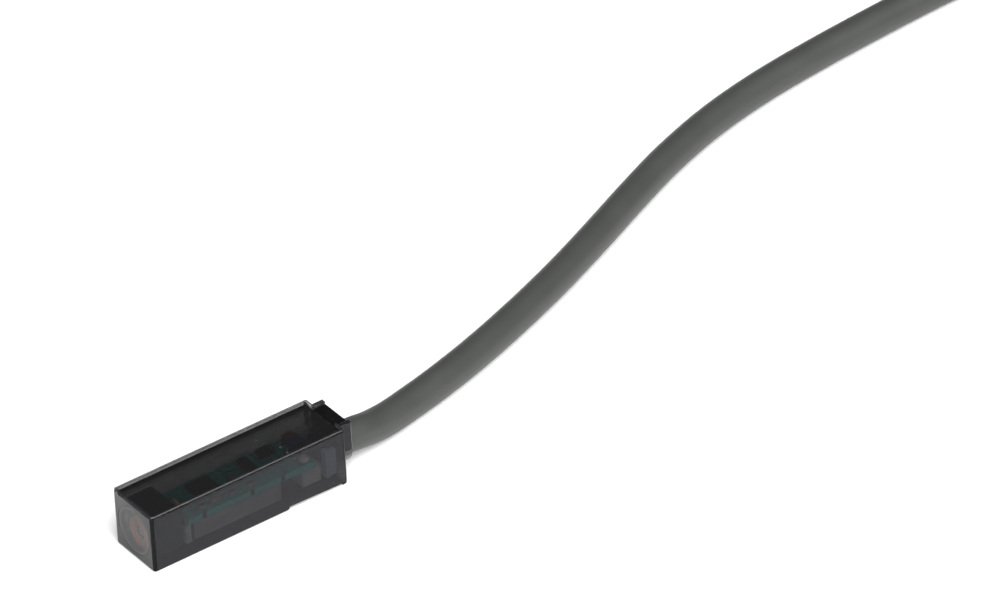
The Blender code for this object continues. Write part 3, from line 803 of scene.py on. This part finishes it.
# %% Window
LENS_HEIGHT = 5.0
RIPPLE_WIDTH = 0.55
window_skin = Finish("window_smoked", (0.016, 0.015, 0.016), 0.05, IOR=1.56)
ripple = window_skin.node("ShaderNodeSeparateXYZ", None, {"Vector": window_skin.place()})
rise = ripple["Z"] - LENS_HEIGHT * MM
from_middle = (ripple["X"] * ripple["X"] + rise * rise) ** 0.5
rings_mark = window_skin.maths("SINE", from_middle * (2 * math.pi / (RIPPLE_WIDTH * MM)))
edge_zone = from_middle.between(3.1 * MM, 3.7 * MM)
haze = window_skin.noise(0.0009, 3.0)
window_skin.set("Roughness", 0.05 + 0.08 * haze + 0.1 * edge_zone)
window_skin.set("Alpha", 0.6 + 0.2 * edge_zone + 0.06 * haze)
window_skin.bump(rings_mark * 0.3 + haze * 0.2, 0.12, 0.00003)
window_inside = inner_skin("window_inside", 0.12)
window_shape = copy_of("front_lens")
for face in window_shape.faces:
    if face.normal.y > 0.9:
        face.material_index = 1
window = show(
    "window", window_shape, [window_skin, window_inside], ["front_lens"], edge=0.03
)
print("window:", len(window.data.polygons), "faces")

# %% Aperture ring
ring_low, ring_high = box_of("aperture_ring")
RING_BORE = 1.15
RING_STEPS = 6
GROOVE = 0.07
LEAN = 0.03
ring_radius = (ring_high.x - ring_low.x) / 2
ring_middle = (ring_low + ring_high) / 2
front, back = ring_low.y - ring_middle.y, ring_high.y - ring_middle.y
steps_from = RING_BORE + 0.12
step_width = (ring_radius - RING_BORE - 0.3) / RING_STEPS
outline = [(RING_BORE, back), (RING_BORE, front + 0.1)]
for number in range(RING_STEPS):
    inner = steps_from + step_width * number
    outer = steps_from + step_width * (number + 0.6)
    outline += [(inner, front + GROOVE), (inner + LEAN, front)]
    outline += [(outer, front), (outer + LEAN, front + GROOVE)]
outline += [(ring_radius, front + 0.08), (ring_radius, back)]
ring_finish = cloudy(
    "ring_moulded",
    ((0.5, 0.2, 0.13), 0.4),
    0.0007,
    ((0.42, 0.16, 0.1), (0.62, 0.28, 0.2)),
    (0.32, 0.2),
)
ring_finish.bump(ring_finish.noise(0.00012, 2.0), 0.25, 0.00003)
ring_shape = bmesh.new()
turned(ring_shape, outline, ring_middle, sides=72, closed=True)
show("beam_ring", ring_shape, [ring_finish], ["aperture_ring"], edge=0.0)
print("ring outline points:", len(outline))

# %% [markdown]
# ## Emitter and its leads
# The light source is a clear epoxy body with a domed end and a flange, cast round a metal lead
# frame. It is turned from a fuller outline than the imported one. Its leads are stamped from sheet,
# so they are square in section and have a short wide shoulder near the body.

# %% Emitter
emitter_low, emitter_high = box_of("emitter")
emitter_middle = (emitter_low + emitter_high) / 2
emitter_radius = (emitter_high.x - emitter_low.x) / 2
emitter_length = emitter_high.y - emitter_low.y
body_radius = emitter_radius * 0.9
tip, back = -emitter_length / 2, emitter_length / 2
DOME_STEPS = 8
FLANGE = 0.4
BEVEL = 0.05
outline = []
for number in range(DOME_STEPS + 1):
    angle = math.pi / 2 * number / DOME_STEPS
    outline.append((body_radius * math.sin(angle), tip + body_radius * (1 - math.cos(angle))))
outline += [
    (body_radius, back - FLANGE - BEVEL),
    (emitter_radius, back - FLANGE),
    (emitter_radius, back - BEVEL),
    (emitter_radius - 0.06, back),
    (0.0, back),
]
epoxy = Finish("epoxy_clear", (0.6, 0.52, 0.45), 0.12, IOR=1.5)
milky = epoxy.noise(0.0008, 2.0)
epoxy.set("Alpha", 0.45 + 0.25 * milky)
epoxy.set("Roughness", 0.08 + 0.14 * milky)
epoxy.bump(milky, 0.1, 0.00005)
emitter_shape = bmesh.new()
turned(emitter_shape, outline, emitter_middle, sides=40)
show("emitter_body", emitter_shape, [epoxy], ["emitter"], edge=0.0)

tin = Finish("tinned_sheet", (0.62, 0.61, 0.58), 0.3, Metallic=1.0)
brushed = tin.noise(0.0006, 3.0, (1.0, 0.15, 1.0))
stains = tin.noise(0.0025, 2.0)
tin.set("Base Color", tin.mix(stains, (0.5, 0.49, 0.47), (0.74, 0.73, 0.7)))
tin.set("Roughness", 0.24 + 0.2 * brushed + 0.08 * stains)
tin.bump(brushed, 0.12, 0.00004)
SHOULDER = (0.35, 0.9)
for label in ("left", "right"):
    low, high = box_of(f"emitter_lead_{label}")
    middle = (low + high) / 2
    half = (high.x - low.x) * 0.8 / 2
    lead_shape = bmesh.new()
    square = Vector((half, 0, half))
    block(lead_shape, Vector((middle.x, low.y, middle.z)) - square,
          Vector((middle.x, high.y, middle.z)) + square)
    block(lead_shape, (low.x, low.y + SHOULDER[0], middle.z - half + 0.01),
          (high.x, low.y + SHOULDER[1], middle.z + half - 0.01))
    show(f"emitter_pin_{label}", lead_shape, [tin], [f"emitter_lead_{label}"], 0.03)
print("emitter radius:", round(emitter_radius, 2), "mm")

# %% [markdown]
# ## Optics holder and shield
# The holder is a matt grey-green moulding with a bore for the emitter. The shield behind it is a
# bent tinned plate that keeps the board's noise away from the light path. Both keep their packed
# shape with softened edges. The holder gains the ribs that such a moulding has, and the shield two
# small lugs and two folded flaps. The shield is bright low down and turns dark grey from 4.4 to 5.3 mm
# up, near the board.

# %% Holder and shield
holder_low, holder_high = box_of("optics_holder")
matt = Finish("holder_moulded", (0.1, 0.125, 0.115), 0.55)
speckle = matt.noise(0.0003, 3.0)
swirl = matt.noise(0.002, 2.0)
matt.set("Base Color", matt.mix(swirl, (0.03, 0.045, 0.04), (0.08, 0.1, 0.09)))
matt.set("Roughness", 0.42 + 0.22 * speckle)
matt.bump(speckle, 0.3, 0.00004)
holder_shape = copy_of("optics_holder")
RIBS = (0.9, 2.25, 3.6)
RIB_HALF = 3.4
RIB_WIDTH = 0.4
RIB_HEIGHT = 0.22
for place in RIBS:
    y = holder_low.y + place
    block(holder_shape, (-RIB_HALF, y, holder_high.z - 0.02),
          (RIB_HALF, y + RIB_WIDTH, holder_high.z + RIB_HEIGHT))
show("optics_block", holder_shape, [matt], ["optics_holder"], edge=0.06)
shield_shape = copy_of("optics_shield")
shield_low, shield_high = box_of("optics_shield")
LUG_X = 2.9
LUG_HALF = 0.45
FLAP = 0.15
for side in (-1, 1):
    x = side * LUG_X
    block(shield_shape, (x - LUG_HALF, shield_low.y - 0.06, shield_high.z - 1.5),
          (x + LUG_HALF, shield_low.y + 0.1, shield_high.z - 0.5))
    inner, outer = sorted((side * (shield_high.x - FLAP), side * shield_high.x))
    block(shield_shape, (inner, shield_low.y + 0.2, shield_low.z + 0.2),
          (outer, shield_low.y + 0.98, shield_high.z - 1.2))
pale = Finish("shield_pale", (0.75, 0.76, 0.74), 0.35)
smear = pale.noise(0.0007, 3.0, (1, 1, 0.25))
level = pale.node("ShaderNodeSeparateXYZ", None, {"Vector": pale.place()})["Z"]
shine = pale.mix(smear, (0.6, 0.61, 0.6), (0.95, 0.95, 0.93))
# Dark grey from 4.4 to 5.3 mm up, near the board; bright below.
pale.set("Base Color", pale.mix(level.between(4.4 * MM, 5.3 * MM), shine, (0.2, 0.22, 0.2)))
pale.set("Roughness", 0.28 + 0.25 * smear)
pale.bump(smear, 0.15, 0.00005)
show("optics_plate", shield_shape, [pale], ["optics_shield"], edge=0.05)
print("holder and shield ready")

# %% [markdown]
# ## Circuit board
# The board is glass fibre with green solder mask. Its long edge has small plated notches where it
# was broken out of its panel. The outline is drawn once as a polygon with those notches and then
# given thickness. Copper tracks show through the mask as slightly lighter lines, made from two
# brick patterns at different scales, and small round vias come from a Voronoi pattern.

# %% Board
board_low, board_high = box_of("circuit_board")
NOTCHES = (-8.4, 0.2, 5.75)
NOTCH = 0.36
NOTCH_STEPS = 6


def board_outline():
    points = [(board_low.x, board_low.y), (board_high.x, board_low.y)]
    for y in NOTCHES:
        for number in range(NOTCH_STEPS + 1):
            angle = math.radians(-90 + 180 * number / NOTCH_STEPS)
            points.append((board_high.x - NOTCH * math.cos(angle), y + NOTCH * math.sin(angle)))
    return points + [(board_high.x, board_high.y), (board_low.x, board_high.y)]


board_shape = bmesh.new()
rings = []
for z in (board_low.z, board_high.z):
    rings.append([board_shape.verts.new(Vector((x, y, z)) * MM) for x, y in board_outline()])
skin(board_shape, rings, 1)
board_shape.faces.ensure_lookup_table()
for face in board_shape.faces:
    if len(face.verts) > 4:
        face.material_index = 0
        continue
    middle = face.calc_center_median() / MM
    in_a_notch = any(abs(middle.y - y) < NOTCH for y in NOTCHES)
    if in_a_notch and middle.x > board_high.x - NOTCH - 0.01:
        face.material_index = 2

mask = Finish("board_mask", (0.05, 0.45, 0.34), 0.3)
place = mask.place()
fine = mask.node(
    "ShaderNodeTexBrick",
    {"offset": 0.37},
    {"Vector": place, "Scale": 420.0, "Mortar Size": 0.05, "Mortar Smooth": 0.2},
)
coarse = mask.node(
    "ShaderNodeTexBrick",
    {"offset": 0.61, "squash": 0.6},
    {"Vector": place, "Scale": 170.0, "Mortar Size": 0.04},
)
holes = mask.node("ShaderNodeTexVoronoi", {"feature": "F1"}, {"Vector": place, "Scale": 700.0})
via = 1 - holes["Distance"].between(0.13, 0.17)
copper = mask.maths("MAXIMUM", fine["Fac"], coarse["Fac"])
tone = mask.mix(copper, (0.015, 0.27, 0.23), (0.04, 0.45, 0.38))
mask.set("Base Color", mask.mix(via, tone, (0.55, 0.5, 0.3)))
mask.set("Roughness", 0.26 + 0.12 * mask.noise(0.0008) + 0.1 * via)
mask.bump(copper * 0.6 + via * 0.8, 0.5, 0.00003)

fibre = cloudy(
    "board_edge",
    ((0.35, 0.42, 0.28), 0.65),
    0.0006,
    ((0.04, 0.5, 0.44), (0.14, 0.72, 0.64)),
    (0.5, 0.3),
    (0.4, 0.00005),
    stretch=(0.3, 0.3, 5.0),
)

dark_plate = Finish("notch_plating", (0.03, 0.035, 0.03), 0.5)
dull = dark_plate.noise(0.0002, 2.0)
dark_plate.set("Roughness", 0.35 + 0.3 * dull)
dark_plate.bump(dull, 0.2, 0.00003)
show(
    "sensor_board", board_shape, [mask, fibre, dark_plate], ["circuit_board"], 0.03
)
print("board outline points:", len(board_outline()))

# %% [markdown]
# ## Chips
# A chip's body is moulded round a lead frame: matt black, with sides that lean and a dimple by its
# first pin. Its leads come out at mid height, bend down and end in flat feet on the board. The
# square control chip has leads on two sides, and so does the small driver.

# %% Chips
chip_finish = Finish("chip_moulded", (0.02, 0.02, 0.022), 0.5)
grit = chip_finish.noise(0.00015, 3.0)
haze = chip_finish.noise(0.0012, 2.0)
chip_finish.set("Base Color", chip_finish.mix(haze, (0.014, 0.014, 0.015), (0.034, 0.033, 0.034)))
chip_finish.set("Roughness", 0.4 + 0.2 * grit)
chip_finish.bump(grit, 0.4, 0.00003)


LEAD_THICKNESS = 0.12
LEAD_SHARE = 0.42
WING = [(0.28, 0.0), (0.4, 0.12), (0.5, 0.88), (0.6, 1.0), (1.0, 1.0)]
DIMPLE = [(0.2, -0.02), (0.2, 0.012), (0.16, 0.015), (0.14, -0.005), (0.0, -0.012)]


def gull_wing(shape, start, outward, across, drop, reach, width):
    """One lead: out of the body, down to the board, and a flat foot."""
    start, outward = Vector(start), Vector(outward)
    down = Vector((0, 0, -1))
    path = [start - outward * 0.1]
    for out, sunk in WING:
        path.append(start + outward * reach * out + down * drop * sunk)
    strip(shape, path, across, width, LEAD_THICKNESS, 1)


def chip(name, node, pitch, count, along="Y", reach=0.55):
    low, high = box_of(node)
    shape = bmesh.new()
    moulded(shape, low, high, 0.1)
    middle = (low + high) / 2
    drop = middle.z - board_high.z - 0.08
    half = (high - low) / 2
    out, across = (0, 1) if along == "Y" else (1, 0)
    for number in range(count):
        for side in (-1, 1):
            start, outward, run = middle.copy(), Vector((0, 0, 0)), Vector((0, 0, 0))
            start[out] += side * half[out]
            start[across] += (number - (count - 1) / 2) * pitch
            outward[out] = side
            run[across] = 1
            gull_wing(shape, start, outward, run, drop, reach, pitch * LEAD_SHARE)
    turned(shape, DIMPLE, (low.x + 0.6, high.y - 0.6, high.z), "Z", 20)
    show(name, shape, [chip_finish, tin], [node], edge=0.03)


chip("sensing_chip", "control_chip", 0.65, 6)
chip("output_chip", "driver_chip", 0.65, 4, "X", 0.5)
print("chips ready")

# %% [markdown]
# ## Small parts on the board
# Chip resistors have a white ceramic body, a black glaze on top and tinned ends. Chip capacitors
# are tan blocks whose ends are tinned all round. Each sits on two solder pads, which are thin
# tinned plates. The surge diode has wide leads that fold under it, and a pale band at one end.

# %% Resistors, capacitors and diode
ceramic_white = cloudy(
    "ceramic_white",
    ((0.45, 0.46, 0.43), 0.5),
    0.0003,
    ((0.32, 0.34, 0.31), (0.5, 0.51, 0.47)),
    (0.42, 0.2),
)
dull_tin = cloudy(
    "dull_tin",
    ((0.3, 0.3, 0.29), 0.5),
    0.0003,
    ((0.2, 0.21, 0.2), (0.38, 0.38, 0.36)),
    (0.4, 0.25),
    Metallic=0.5,
)
ceramic_tan = cloudy(
    "ceramic_tan",
    ((0.5, 0.36, 0.24), 0.42),
    0.0004,
    ((0.3, 0.2, 0.13), (0.46, 0.33, 0.22)),
    (0.32, 0.2),
    (0.2, 0.00003),
)
END_CAP = 0.3
OVERLAP = 0.02
PAD_RIM = 0.12


def end_capped(name, node, finish, glaze=False):
    low, high = box_of(node)
    shape = bmesh.new()
    lengthways = 1 if high.y - low.y > high.x - low.x else 0
    inner_low, inner_high = low.copy(), high.copy()
    inner_low[lengthways] += END_CAP - OVERLAP
    inner_high[lengthways] -= END_CAP - OVERLAP
    shrink = Vector((0.03, 0.03, 0.03))
    shrink[lengthways] = 0.0
    block(shape, inner_low + shrink, inner_high - shrink, 0)
    for side in (0, 1):
        cap_low, cap_high = low.copy(), high.copy()
        if side:
            cap_low[lengthways] = high[lengthways] - END_CAP
        else:
            cap_high[lengthways] = low[lengthways] + END_CAP
        block(shape, cap_low, cap_high, 1)
        block(shape, (cap_low.x - PAD_RIM, cap_low.y - PAD_RIM, board_high.z),
              (cap_high.x + PAD_RIM, cap_high.y + PAD_RIM, low.z + 0.05), 1)
    if glaze:
        block(shape, (inner_low.x + 0.06, inner_low.y + 0.02, high.z - 0.04),
              (inner_high.x - 0.06, inner_high.y - 0.02, high.z + 0.01), 2)
    show(name, shape, [finish, dull_tin, chip_finish], [node], edge=0.035)


for number in (1, 2, 3):
    end_capped(f"chip_resistor_{number}", f"resistor_{number}", ceramic_white, True)
for number in (1, 2):
    end_capped(f"chip_capacitor_{number}", f"capacitor_{number}", ceramic_tan)

diode_low, diode_high = box_of("surge_diode")
diode_shape = bmesh.new()
moulded(diode_shape, diode_low, diode_high, 0.12)
middle = (diode_low + diode_high) / 2
DIODE_LEAD = [
    (-0.15, middle.z),
    (0.12, middle.z),
    (0.2, middle.z - 0.12),
    (0.2, diode_low.z + 0.06),
    (0.1, diode_low.z - 0.03),
    (-0.5, diode_low.z - 0.03),
]
for side in (-1, 1):
    y = middle.y + side * (diode_high.y - diode_low.y) / 2
    path = [(middle.x, y + side * out, z) for out, z in DIODE_LEAD]
    strip(diode_shape, path, (1, 0, 0), 0.9, 0.1, 1)
block(diode_shape, (diode_low.x + 0.14, diode_high.y - 0.55, diode_high.z - 0.02),
      (diode_high.x - 0.14, diode_high.y - 0.4, diode_high.z + 0.006), 2)
diode_finishes = [chip_finish, tin, ceramic_white]
show("surge_guard", diode_shape, diode_finishes, ["surge_diode"], 0.03)
print("small parts ready")

# %% [markdown]
# ## Indicator light
# The indicator is a small white block with a lens of amber resin on top. Its two ends are plated.

# %% Indicator
led_low, led_high = box_of("indicator_led")
led_white = cloudy(
    "led_white",
    ((0.85, 0.83, 0.76), 0.45),
    0.0002,
    ((0.8, 0.78, 0.7), (0.92, 0.9, 0.85)),
    (0.38, 0.2),
    detail=2.0,
)
amber = cloudy(
    "amber_resin",
    ((0.95, 0.62, 0.25), 0.16),
    0.0004,
    ((0.95, 0.55, 0.2), (1.0, 0.8, 0.45)),
    (0.1, 0.15),
    detail=2.0,
)
led_shape = bmesh.new()
split = led_low.z + (led_high.z - led_low.z) * 0.45
PLATED = 0.2
DOME = ((0.0, 0.1), (0.45, 0.13), (0.75, 0.2), (0.92, 0.28), (1.0, 0.36))
block(led_shape, (led_low.x + 0.12, led_low.y, led_low.z), (led_high.x - 0.12, led_high.y, split), 0)
for x in (led_low.x, led_high.x - PLATED):
    block(led_shape, (x, led_low.y + 0.05, led_low.z - 0.04),
          (x + PLATED, led_high.y - 0.05, split - 0.04), 2)
rings = []
for share, inset in DOME:
    z = split + (led_high.z - split) * share
    left, right = led_low.x + 0.15 + inset, led_high.x - 0.15 - inset
    front, back = led_low.y + inset * 0.7, led_high.y - inset * 0.7
    corners = ((left, front), (right, front), (right, back), (left, back))
    rings.append([led_shape.verts.new(Vector((x, y, z)) * MM) for x, y in corners])
skin(led_shape, rings, 1)
show("indicator", led_shape, [led_white, amber, tin], ["indicator_led"], edge=0.04)
print("indicator ready")

# %% [markdown]
# ## Parts under the board
# A tinned can shields the receiver. It is folded from sheet, its lid has a
# shallow stiffening panel, and small feet reach the board. The film capacitor beside it is dipped
# in pale resin, with soft corners. The bead capacitor on top is a drop of white epoxy.

# %% Can, film capacitor and bead
can_low, can_high = box_of("shield_can")
can_finish = Finish("can_plated", (0.5, 0.48, 0.52), 0.35, Metallic=0.6)
rolled = can_finish.noise(0.0005, 3.0, (1.0, 0.12, 1.0))
patches = can_finish.noise(0.003, 2.0)
can_finish.set("Base Color", can_finish.mix(patches, (0.4, 0.38, 0.43), (0.62, 0.6, 0.64)))
can_finish.set("Roughness", 0.3 + 0.25 * rolled)
can_finish.bump(rolled, 0.15, 0.00004)
can_shape = bmesh.new()
block(can_shape, can_low, can_high, 0)
PLATE = 0.15
FEET = 4
FOOT_HALF = 0.6
foot_step = (can_high.y - can_low.y - 4 * FOOT_HALF) / (FEET - 1)
for x in (can_low.x, can_high.x - PLATE - 0.01):
    for number in range(FEET):
        y = can_low.y + 2 * FOOT_HALF + number * foot_step
        block(can_shape, (x, y - FOOT_HALF, can_high.z - 0.02), (x + PLATE, y + FOOT_HALF, board_low.z))
block(can_shape, (can_low.x + 0.7, can_low.y + 0.8, can_low.z - 0.03),
      (can_high.x - 0.7, can_high.y - 0.8, can_low.z + 0.05))
show("shield_box", can_shape, [can_finish], ["shield_can"], edge=0.08, segments=3)

film = cloudy(
    "film_resin",
    ((0.6, 0.6, 0.6), 0.4),
    0.0007,
    ((0.5, 0.5, 0.51), (0.72, 0.72, 0.7)),
    (0.3, 0.25),
    (0.3, 0.00008),
)
film_shape = copy_of("film_capacitor")
show("film_block", film_shape, [film], ["film_capacitor"], 0.12, segments=3, angle=18)

bead_low, bead_high = box_of("bead_capacitor")
bead_middle = (bead_low + bead_high) / 2
half = (bead_high - bead_low) / 2
cream = cloudy(
    "bead_epoxy",
    ((0.85, 0.8, 0.72), 0.3),
    0.0004,
    ((0.75, 0.68, 0.58), (0.95, 0.92, 0.86)),
    (0.2, 0.2),
    detail=2.0,
)
bead_shape = bmesh.new()
bmesh.ops.create_icosphere(bead_shape, subdivisions=4, radius=1.0)
for vert in bead_shape.verts:
    direction = vert.co.normalized()
    dent = 0.05 * math.sin(3.1 * direction.x + 1.3) * math.cos(2.7 * direction.y)
    droop = 1.0 - 0.1 * max(0.0, direction.z) - abs(dent)
    point = Vector([direction[axis] * half[axis] * droop for axis in range(3)])
    vert.co = (bead_middle + point) * MM
WIRE = 0.22
for side in (-1, 1):
    y = bead_middle.y + side * 0.45
    path = [(bead_middle.x, y, bead_low.z + 0.25), (bead_middle.x, y, board_high.z - 0.02)]
    strip(bead_shape, path, (1, 0, 0), WIRE, WIRE, 1)
show("bead", bead_shape, [cream, tin], ["bead_capacitor"], edge=0.0)
print("parts under the board ready")

# %% [markdown]
# ## Where the cable comes in
# A bluish nylon clamp holds the jacket's end. Three insulated cores run from it up to the board,
# where their stripped ends are soldered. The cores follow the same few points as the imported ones,
# on a smooth curve, and each joint is a cone of solder with a fillet at its foot.

# %% Clamp, cores and joints
clamp_low, clamp_high = box_of("cable_clamp")
nylon = cloudy(
    "clamp_nylon",
    ((0.42, 0.5, 0.62), 0.4),
    0.0012,
    ((0.34, 0.42, 0.56), (0.56, 0.63, 0.72)),
    (0.3, 0.25),
)
nylon.bump(nylon.noise(0.0002, 2.0), 0.2, 0.00003)
clamp_shape = copy_of("cable_clamp")
CHEEK = 0.4
CHEEK_FRONT = 14.25
RIDGES = (2.6, 3.7, 4.8)
RIDGE = 0.12
for side in (-1, 1):
    x = side * (clamp_high.x - CHEEK - 0.02)
    block(clamp_shape, (x - CHEEK, CHEEK_FRONT, 1.9), (x + CHEEK, ROOM_REAR - 0.12, clamp_high.z - 0.1))
    for z in RIDGES:
        block(clamp_shape, (x - CHEEK - 0.02, CHEEK_FRONT + 0.05, z - RIDGE),
              (x + CHEEK + 0.02, ROOM_REAR - 0.3, z + RIDGE))
show("jacket_clamp", clamp_shape, [nylon], ["cable_clamp"], edge=0.06)

CORE_PITCH = 1.8
CORE_DIAMETER = 1.6
CORE_COLOURS = {
    "brown": ((0.16, 0.055, 0.022), (0.24, 0.09, 0.04)),
    "blue": ((0.015, 0.06, 0.25), (0.03, 0.1, 0.36)),
    "black": ((0.012, 0.012, 0.012), (0.026, 0.026, 0.026)),
}
insulation = {}
for colour, (dark, light) in CORE_COLOURS.items():
    finish = cloudy(f"insulation_{colour}", (light, 0.35), 0.0012, (dark, light), (0.26, 0.2))
    finish.bump(finish.noise(0.0003, 2.0), 0.15, 0.00004)
    insulation[colour] = finish

solder = cloudy(
    "solder_joint",
    ((0.68, 0.68, 0.7), 0.25),
    0.0003,
    ((0.55, 0.55, 0.57), (0.78, 0.78, 0.8)),
    (0.16, 0.3),
    (0.3, 0.00004),
    Metallic=1.0,
)
FILLET = [(0.0, 0.0), (0.6, 0.0), (0.5, 0.06), (0.4, 0.18), (0.33, 0.4)]
TOP = [(0.27, -0.08), (0.16, 0.0), (0.0, 0.0)]
SOLDERED = 0.15
CORE_PLACES = ((-1, "brown"), (0, "blue"), (1, "black"))

for place, colour in CORE_PLACES:
    spread = place * CORE_PITCH
    joint_low, joint_high = box_of(f"solder_joint_{colour}")
    joint = (joint_low + joint_high) / 2
    core_low, core_high = box_of(f"board_core_{colour}")
    above = core_high.z - CORE_DIAMETER / 2
    points = [
        (spread, core_high.y, CABLE_HEIGHT),
        (spread, clamp_low.y + 0.2, CABLE_HEIGHT + 0.05),
        ((joint.x + spread) / 2, clamp_low.y - 0.9, CABLE_HEIGHT + 1.3),
        (joint.x, core_low.y + 1.2, above - 0.05),
        (joint.x, core_low.y + 0.05, above),
    ]
    path = smooth(points, 6)
    core = round_line(f"inner_core_{colour}", [path], CORE_DIAMETER, insulation[colour])
    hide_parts(f"board_core_{colour}")
    outline = [(radius, joint_low.z - joint.z + height) for radius, height in FILLET]
    outline += [(radius, joint_high.z - joint.z + height) for radius, height in TOP]
    joint_shape = bmesh.new()
    turned(joint_shape, outline, joint, "Z", 28)
    block(joint_shape, (joint.x - SOLDERED, joint.y, joint_high.z - 0.32),
          (joint.x + SOLDERED, core_low.y + 0.1, joint_high.z - 0.05))
    show(f"joint_{colour}", joint_shape, [solder], [f"solder_joint_{colour}"], edge=0.03)
print("cable entry ready")

# %% [markdown]
# ## Ties round the hank
# Two nylon straps hold the folded cable. A strap pulls tight round the outside of the loops, so its
# path is the line a stretched band takes round circles: in every direction, the furthest circle.
# Fine teeth run along it, and a square head grips its end on the inner side.

# %% Ties
TIE_WIDTH = 3.2
STRAP = 0.8
GAP = 0.06
TOOTH = 0.9
TIE_POINTS = 40
HEAD_HALF = 1.9
strap = Finish("strap_nylon", (0.018, 0.018, 0.019), 0.4)
teeth_place = strap.node("ShaderNodeSeparateXYZ", None, {"Vector": strap.place()})
teeth = strap.maths("SINE", (teeth_place["Z"] + teeth_place["X"]) * (2 * math.pi / (TOOTH * MM)))
grain = strap.noise(0.0003, 2.0)
strap.set("Roughness", 0.36 + 0.2 * grain)
strap.bump(teeth * 0.5 + grain * 0.2, 0.3, 0.0001)
tie_run = HANK_RUN * TIE_PLACE
tie_y = HANK_START.y + tie_run


def tie(name, node, side, circles):
    path = []
    for number in range(TIE_POINTS):
        angle = 2 * math.pi * number / TIE_POINTS
        way = Vector((math.cos(angle), 0, math.sin(angle)))
        furthest = max(circles, key=lambda circle: circle.dot(way))
        path.append(furthest + way * (CABLE_DIAMETER / 2 + GAP + STRAP / 2))
    shape = bmesh.new()
    strip(shape, path, (0, 1, 0), TIE_WIDTH - 0.3, STRAP, closed=True)
    x = HANK_START.x + side * (HANK_FOLD - CABLE_DIAMETER / 2 - GAP - STRAP)
    block(shape, (x - HEAD_HALF, tie_y - 2.4, 6.2), (x + HEAD_HALF, tie_y + 2.4, 10.4))
    x -= side
    block(shape, (x - 0.35, tie_y - 1.3, 10.3), (x + 0.35, tie_y + 1.3, 12.6))
    return show(name, shape, [strap], [node], edge=0.12)


circles = {-1: [], 1: []}
for side in (-1, 1):
    for layer in range(LOOPS // 2):
        for column in (HANK_FOLD, HANK_LAST):
            height = LYING + PITCH * layer
            x = HANK_START.x + side * column + sway_at(tie_run, height)
            circles[side].append(Vector((x, tie_y, height + TIE_THICKNESS)))
tail_x = HANK_START.x - HANK_MIDDLE + sway_at(tie_run, TAIL_HEIGHT)
circles[-1].append(Vector((tail_x, tie_y, TAIL_HEIGHT + TIE_THICKNESS)))
ties = [
    tie("tie_left", "hank_tie_left", -1, circles[-1]),
    tie("tie_right", "hank_tie_right", 1, circles[1]),
]
print("ties at y =", round(tie_y, 1), "mm")

# %% [markdown]
# ## Stripped end
# The far end of the lead is left bare for wiring. The jacket is cut back from three cores, which
# fan out a little, and each core ends in twisted tinned strands. The strands are seven real wires:
# one straight in the middle and six wound round it.

# %% Cores and strands
def bend_place(reach, along, height):
    """A point beyond the left run, on the far bend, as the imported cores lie."""
    angle = (along - HANK_RUN) / HANK_MIDDLE
    x, y = -reach * math.cos(angle), HANK_RUN + reach * math.sin(angle)
    return HANK_START + Vector((x, y, height))


TAIL_START = 27.0
TAIL_LENGTH = 74.0
CORE_LENGTH = 34.0
CORE_FAN = 1.6
TIP_LENGTH = 6.0
CORE_STAGGER = 3.0
CORE_STEPS = 24
WAVE = 0.15
STRANDS = 7
STRAND_RADIUS = 0.14
STRAND_OFFSET = 0.29
LAY_TURNS = 1.1
strand_finish = cloudy(
    "strands_tinned",
    ((0.72, 0.62, 0.52), 0.3),
    0.0006,
    ((0.6, 0.5, 0.42), (0.8, 0.74, 0.68)),
    (0.24, 0.25),
    detail=2.0,
    Metallic=1.0,
)
stripped = []
begin = TAIL_START + TAIL_LENGTH
for place, colour in CORE_PLACES:
    reach = HANK_MIDDLE + place * CORE_PITCH
    end_reach = reach + place * CORE_FAN
    length = CORE_LENGTH + CORE_STAGGER * place
    points = []
    for number in range(CORE_STEPS + 1):
        share = number / CORE_STEPS
        wave = WAVE * math.sin(share * 9.0 + place * 2.0) * ease(share * 3)
        at = reach + (end_reach - reach) * share + wave
        points.append(bend_place(at, begin + length * share, TAIL_HEIGHT + wave))
    core = round_line(f"end_core_{colour}", [points], CORE_DIAMETER, insulation[colour])
    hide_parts(f"tail_core_{colour}")
    paths = []
    for strand in range(STRANDS):
        path = []
        for number in range(CORE_STEPS + 1):
            share = number / CORE_STEPS
            along = begin + length - 0.4 + (TIP_LENGTH + 0.8) * share
            middle = bend_place(end_reach, along, TAIL_HEIGHT)
            angle = (along - HANK_RUN) / HANK_MIDDLE
            outward = Vector((-math.cos(angle), math.sin(angle), 0))
            offset = STRAND_OFFSET if strand else 0.0
            phase = 2 * math.pi * (strand / (STRANDS - 1) + share * LAY_TURNS)
            point = middle + outward * (offset * math.cos(phase))
            point.z += offset * math.sin(phase)
            path.append(point)
        paths.append(path)
    strands = round_line(f"strands_{colour}", paths, 2 * STRAND_RADIUS, strand_finish, 2)
    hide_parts(f"tail_tip_{colour}")
    stripped += [core, strands]
print("stripped pieces:", len(stripped))

# %% [markdown]

# %% Lead
print("all pieces built")
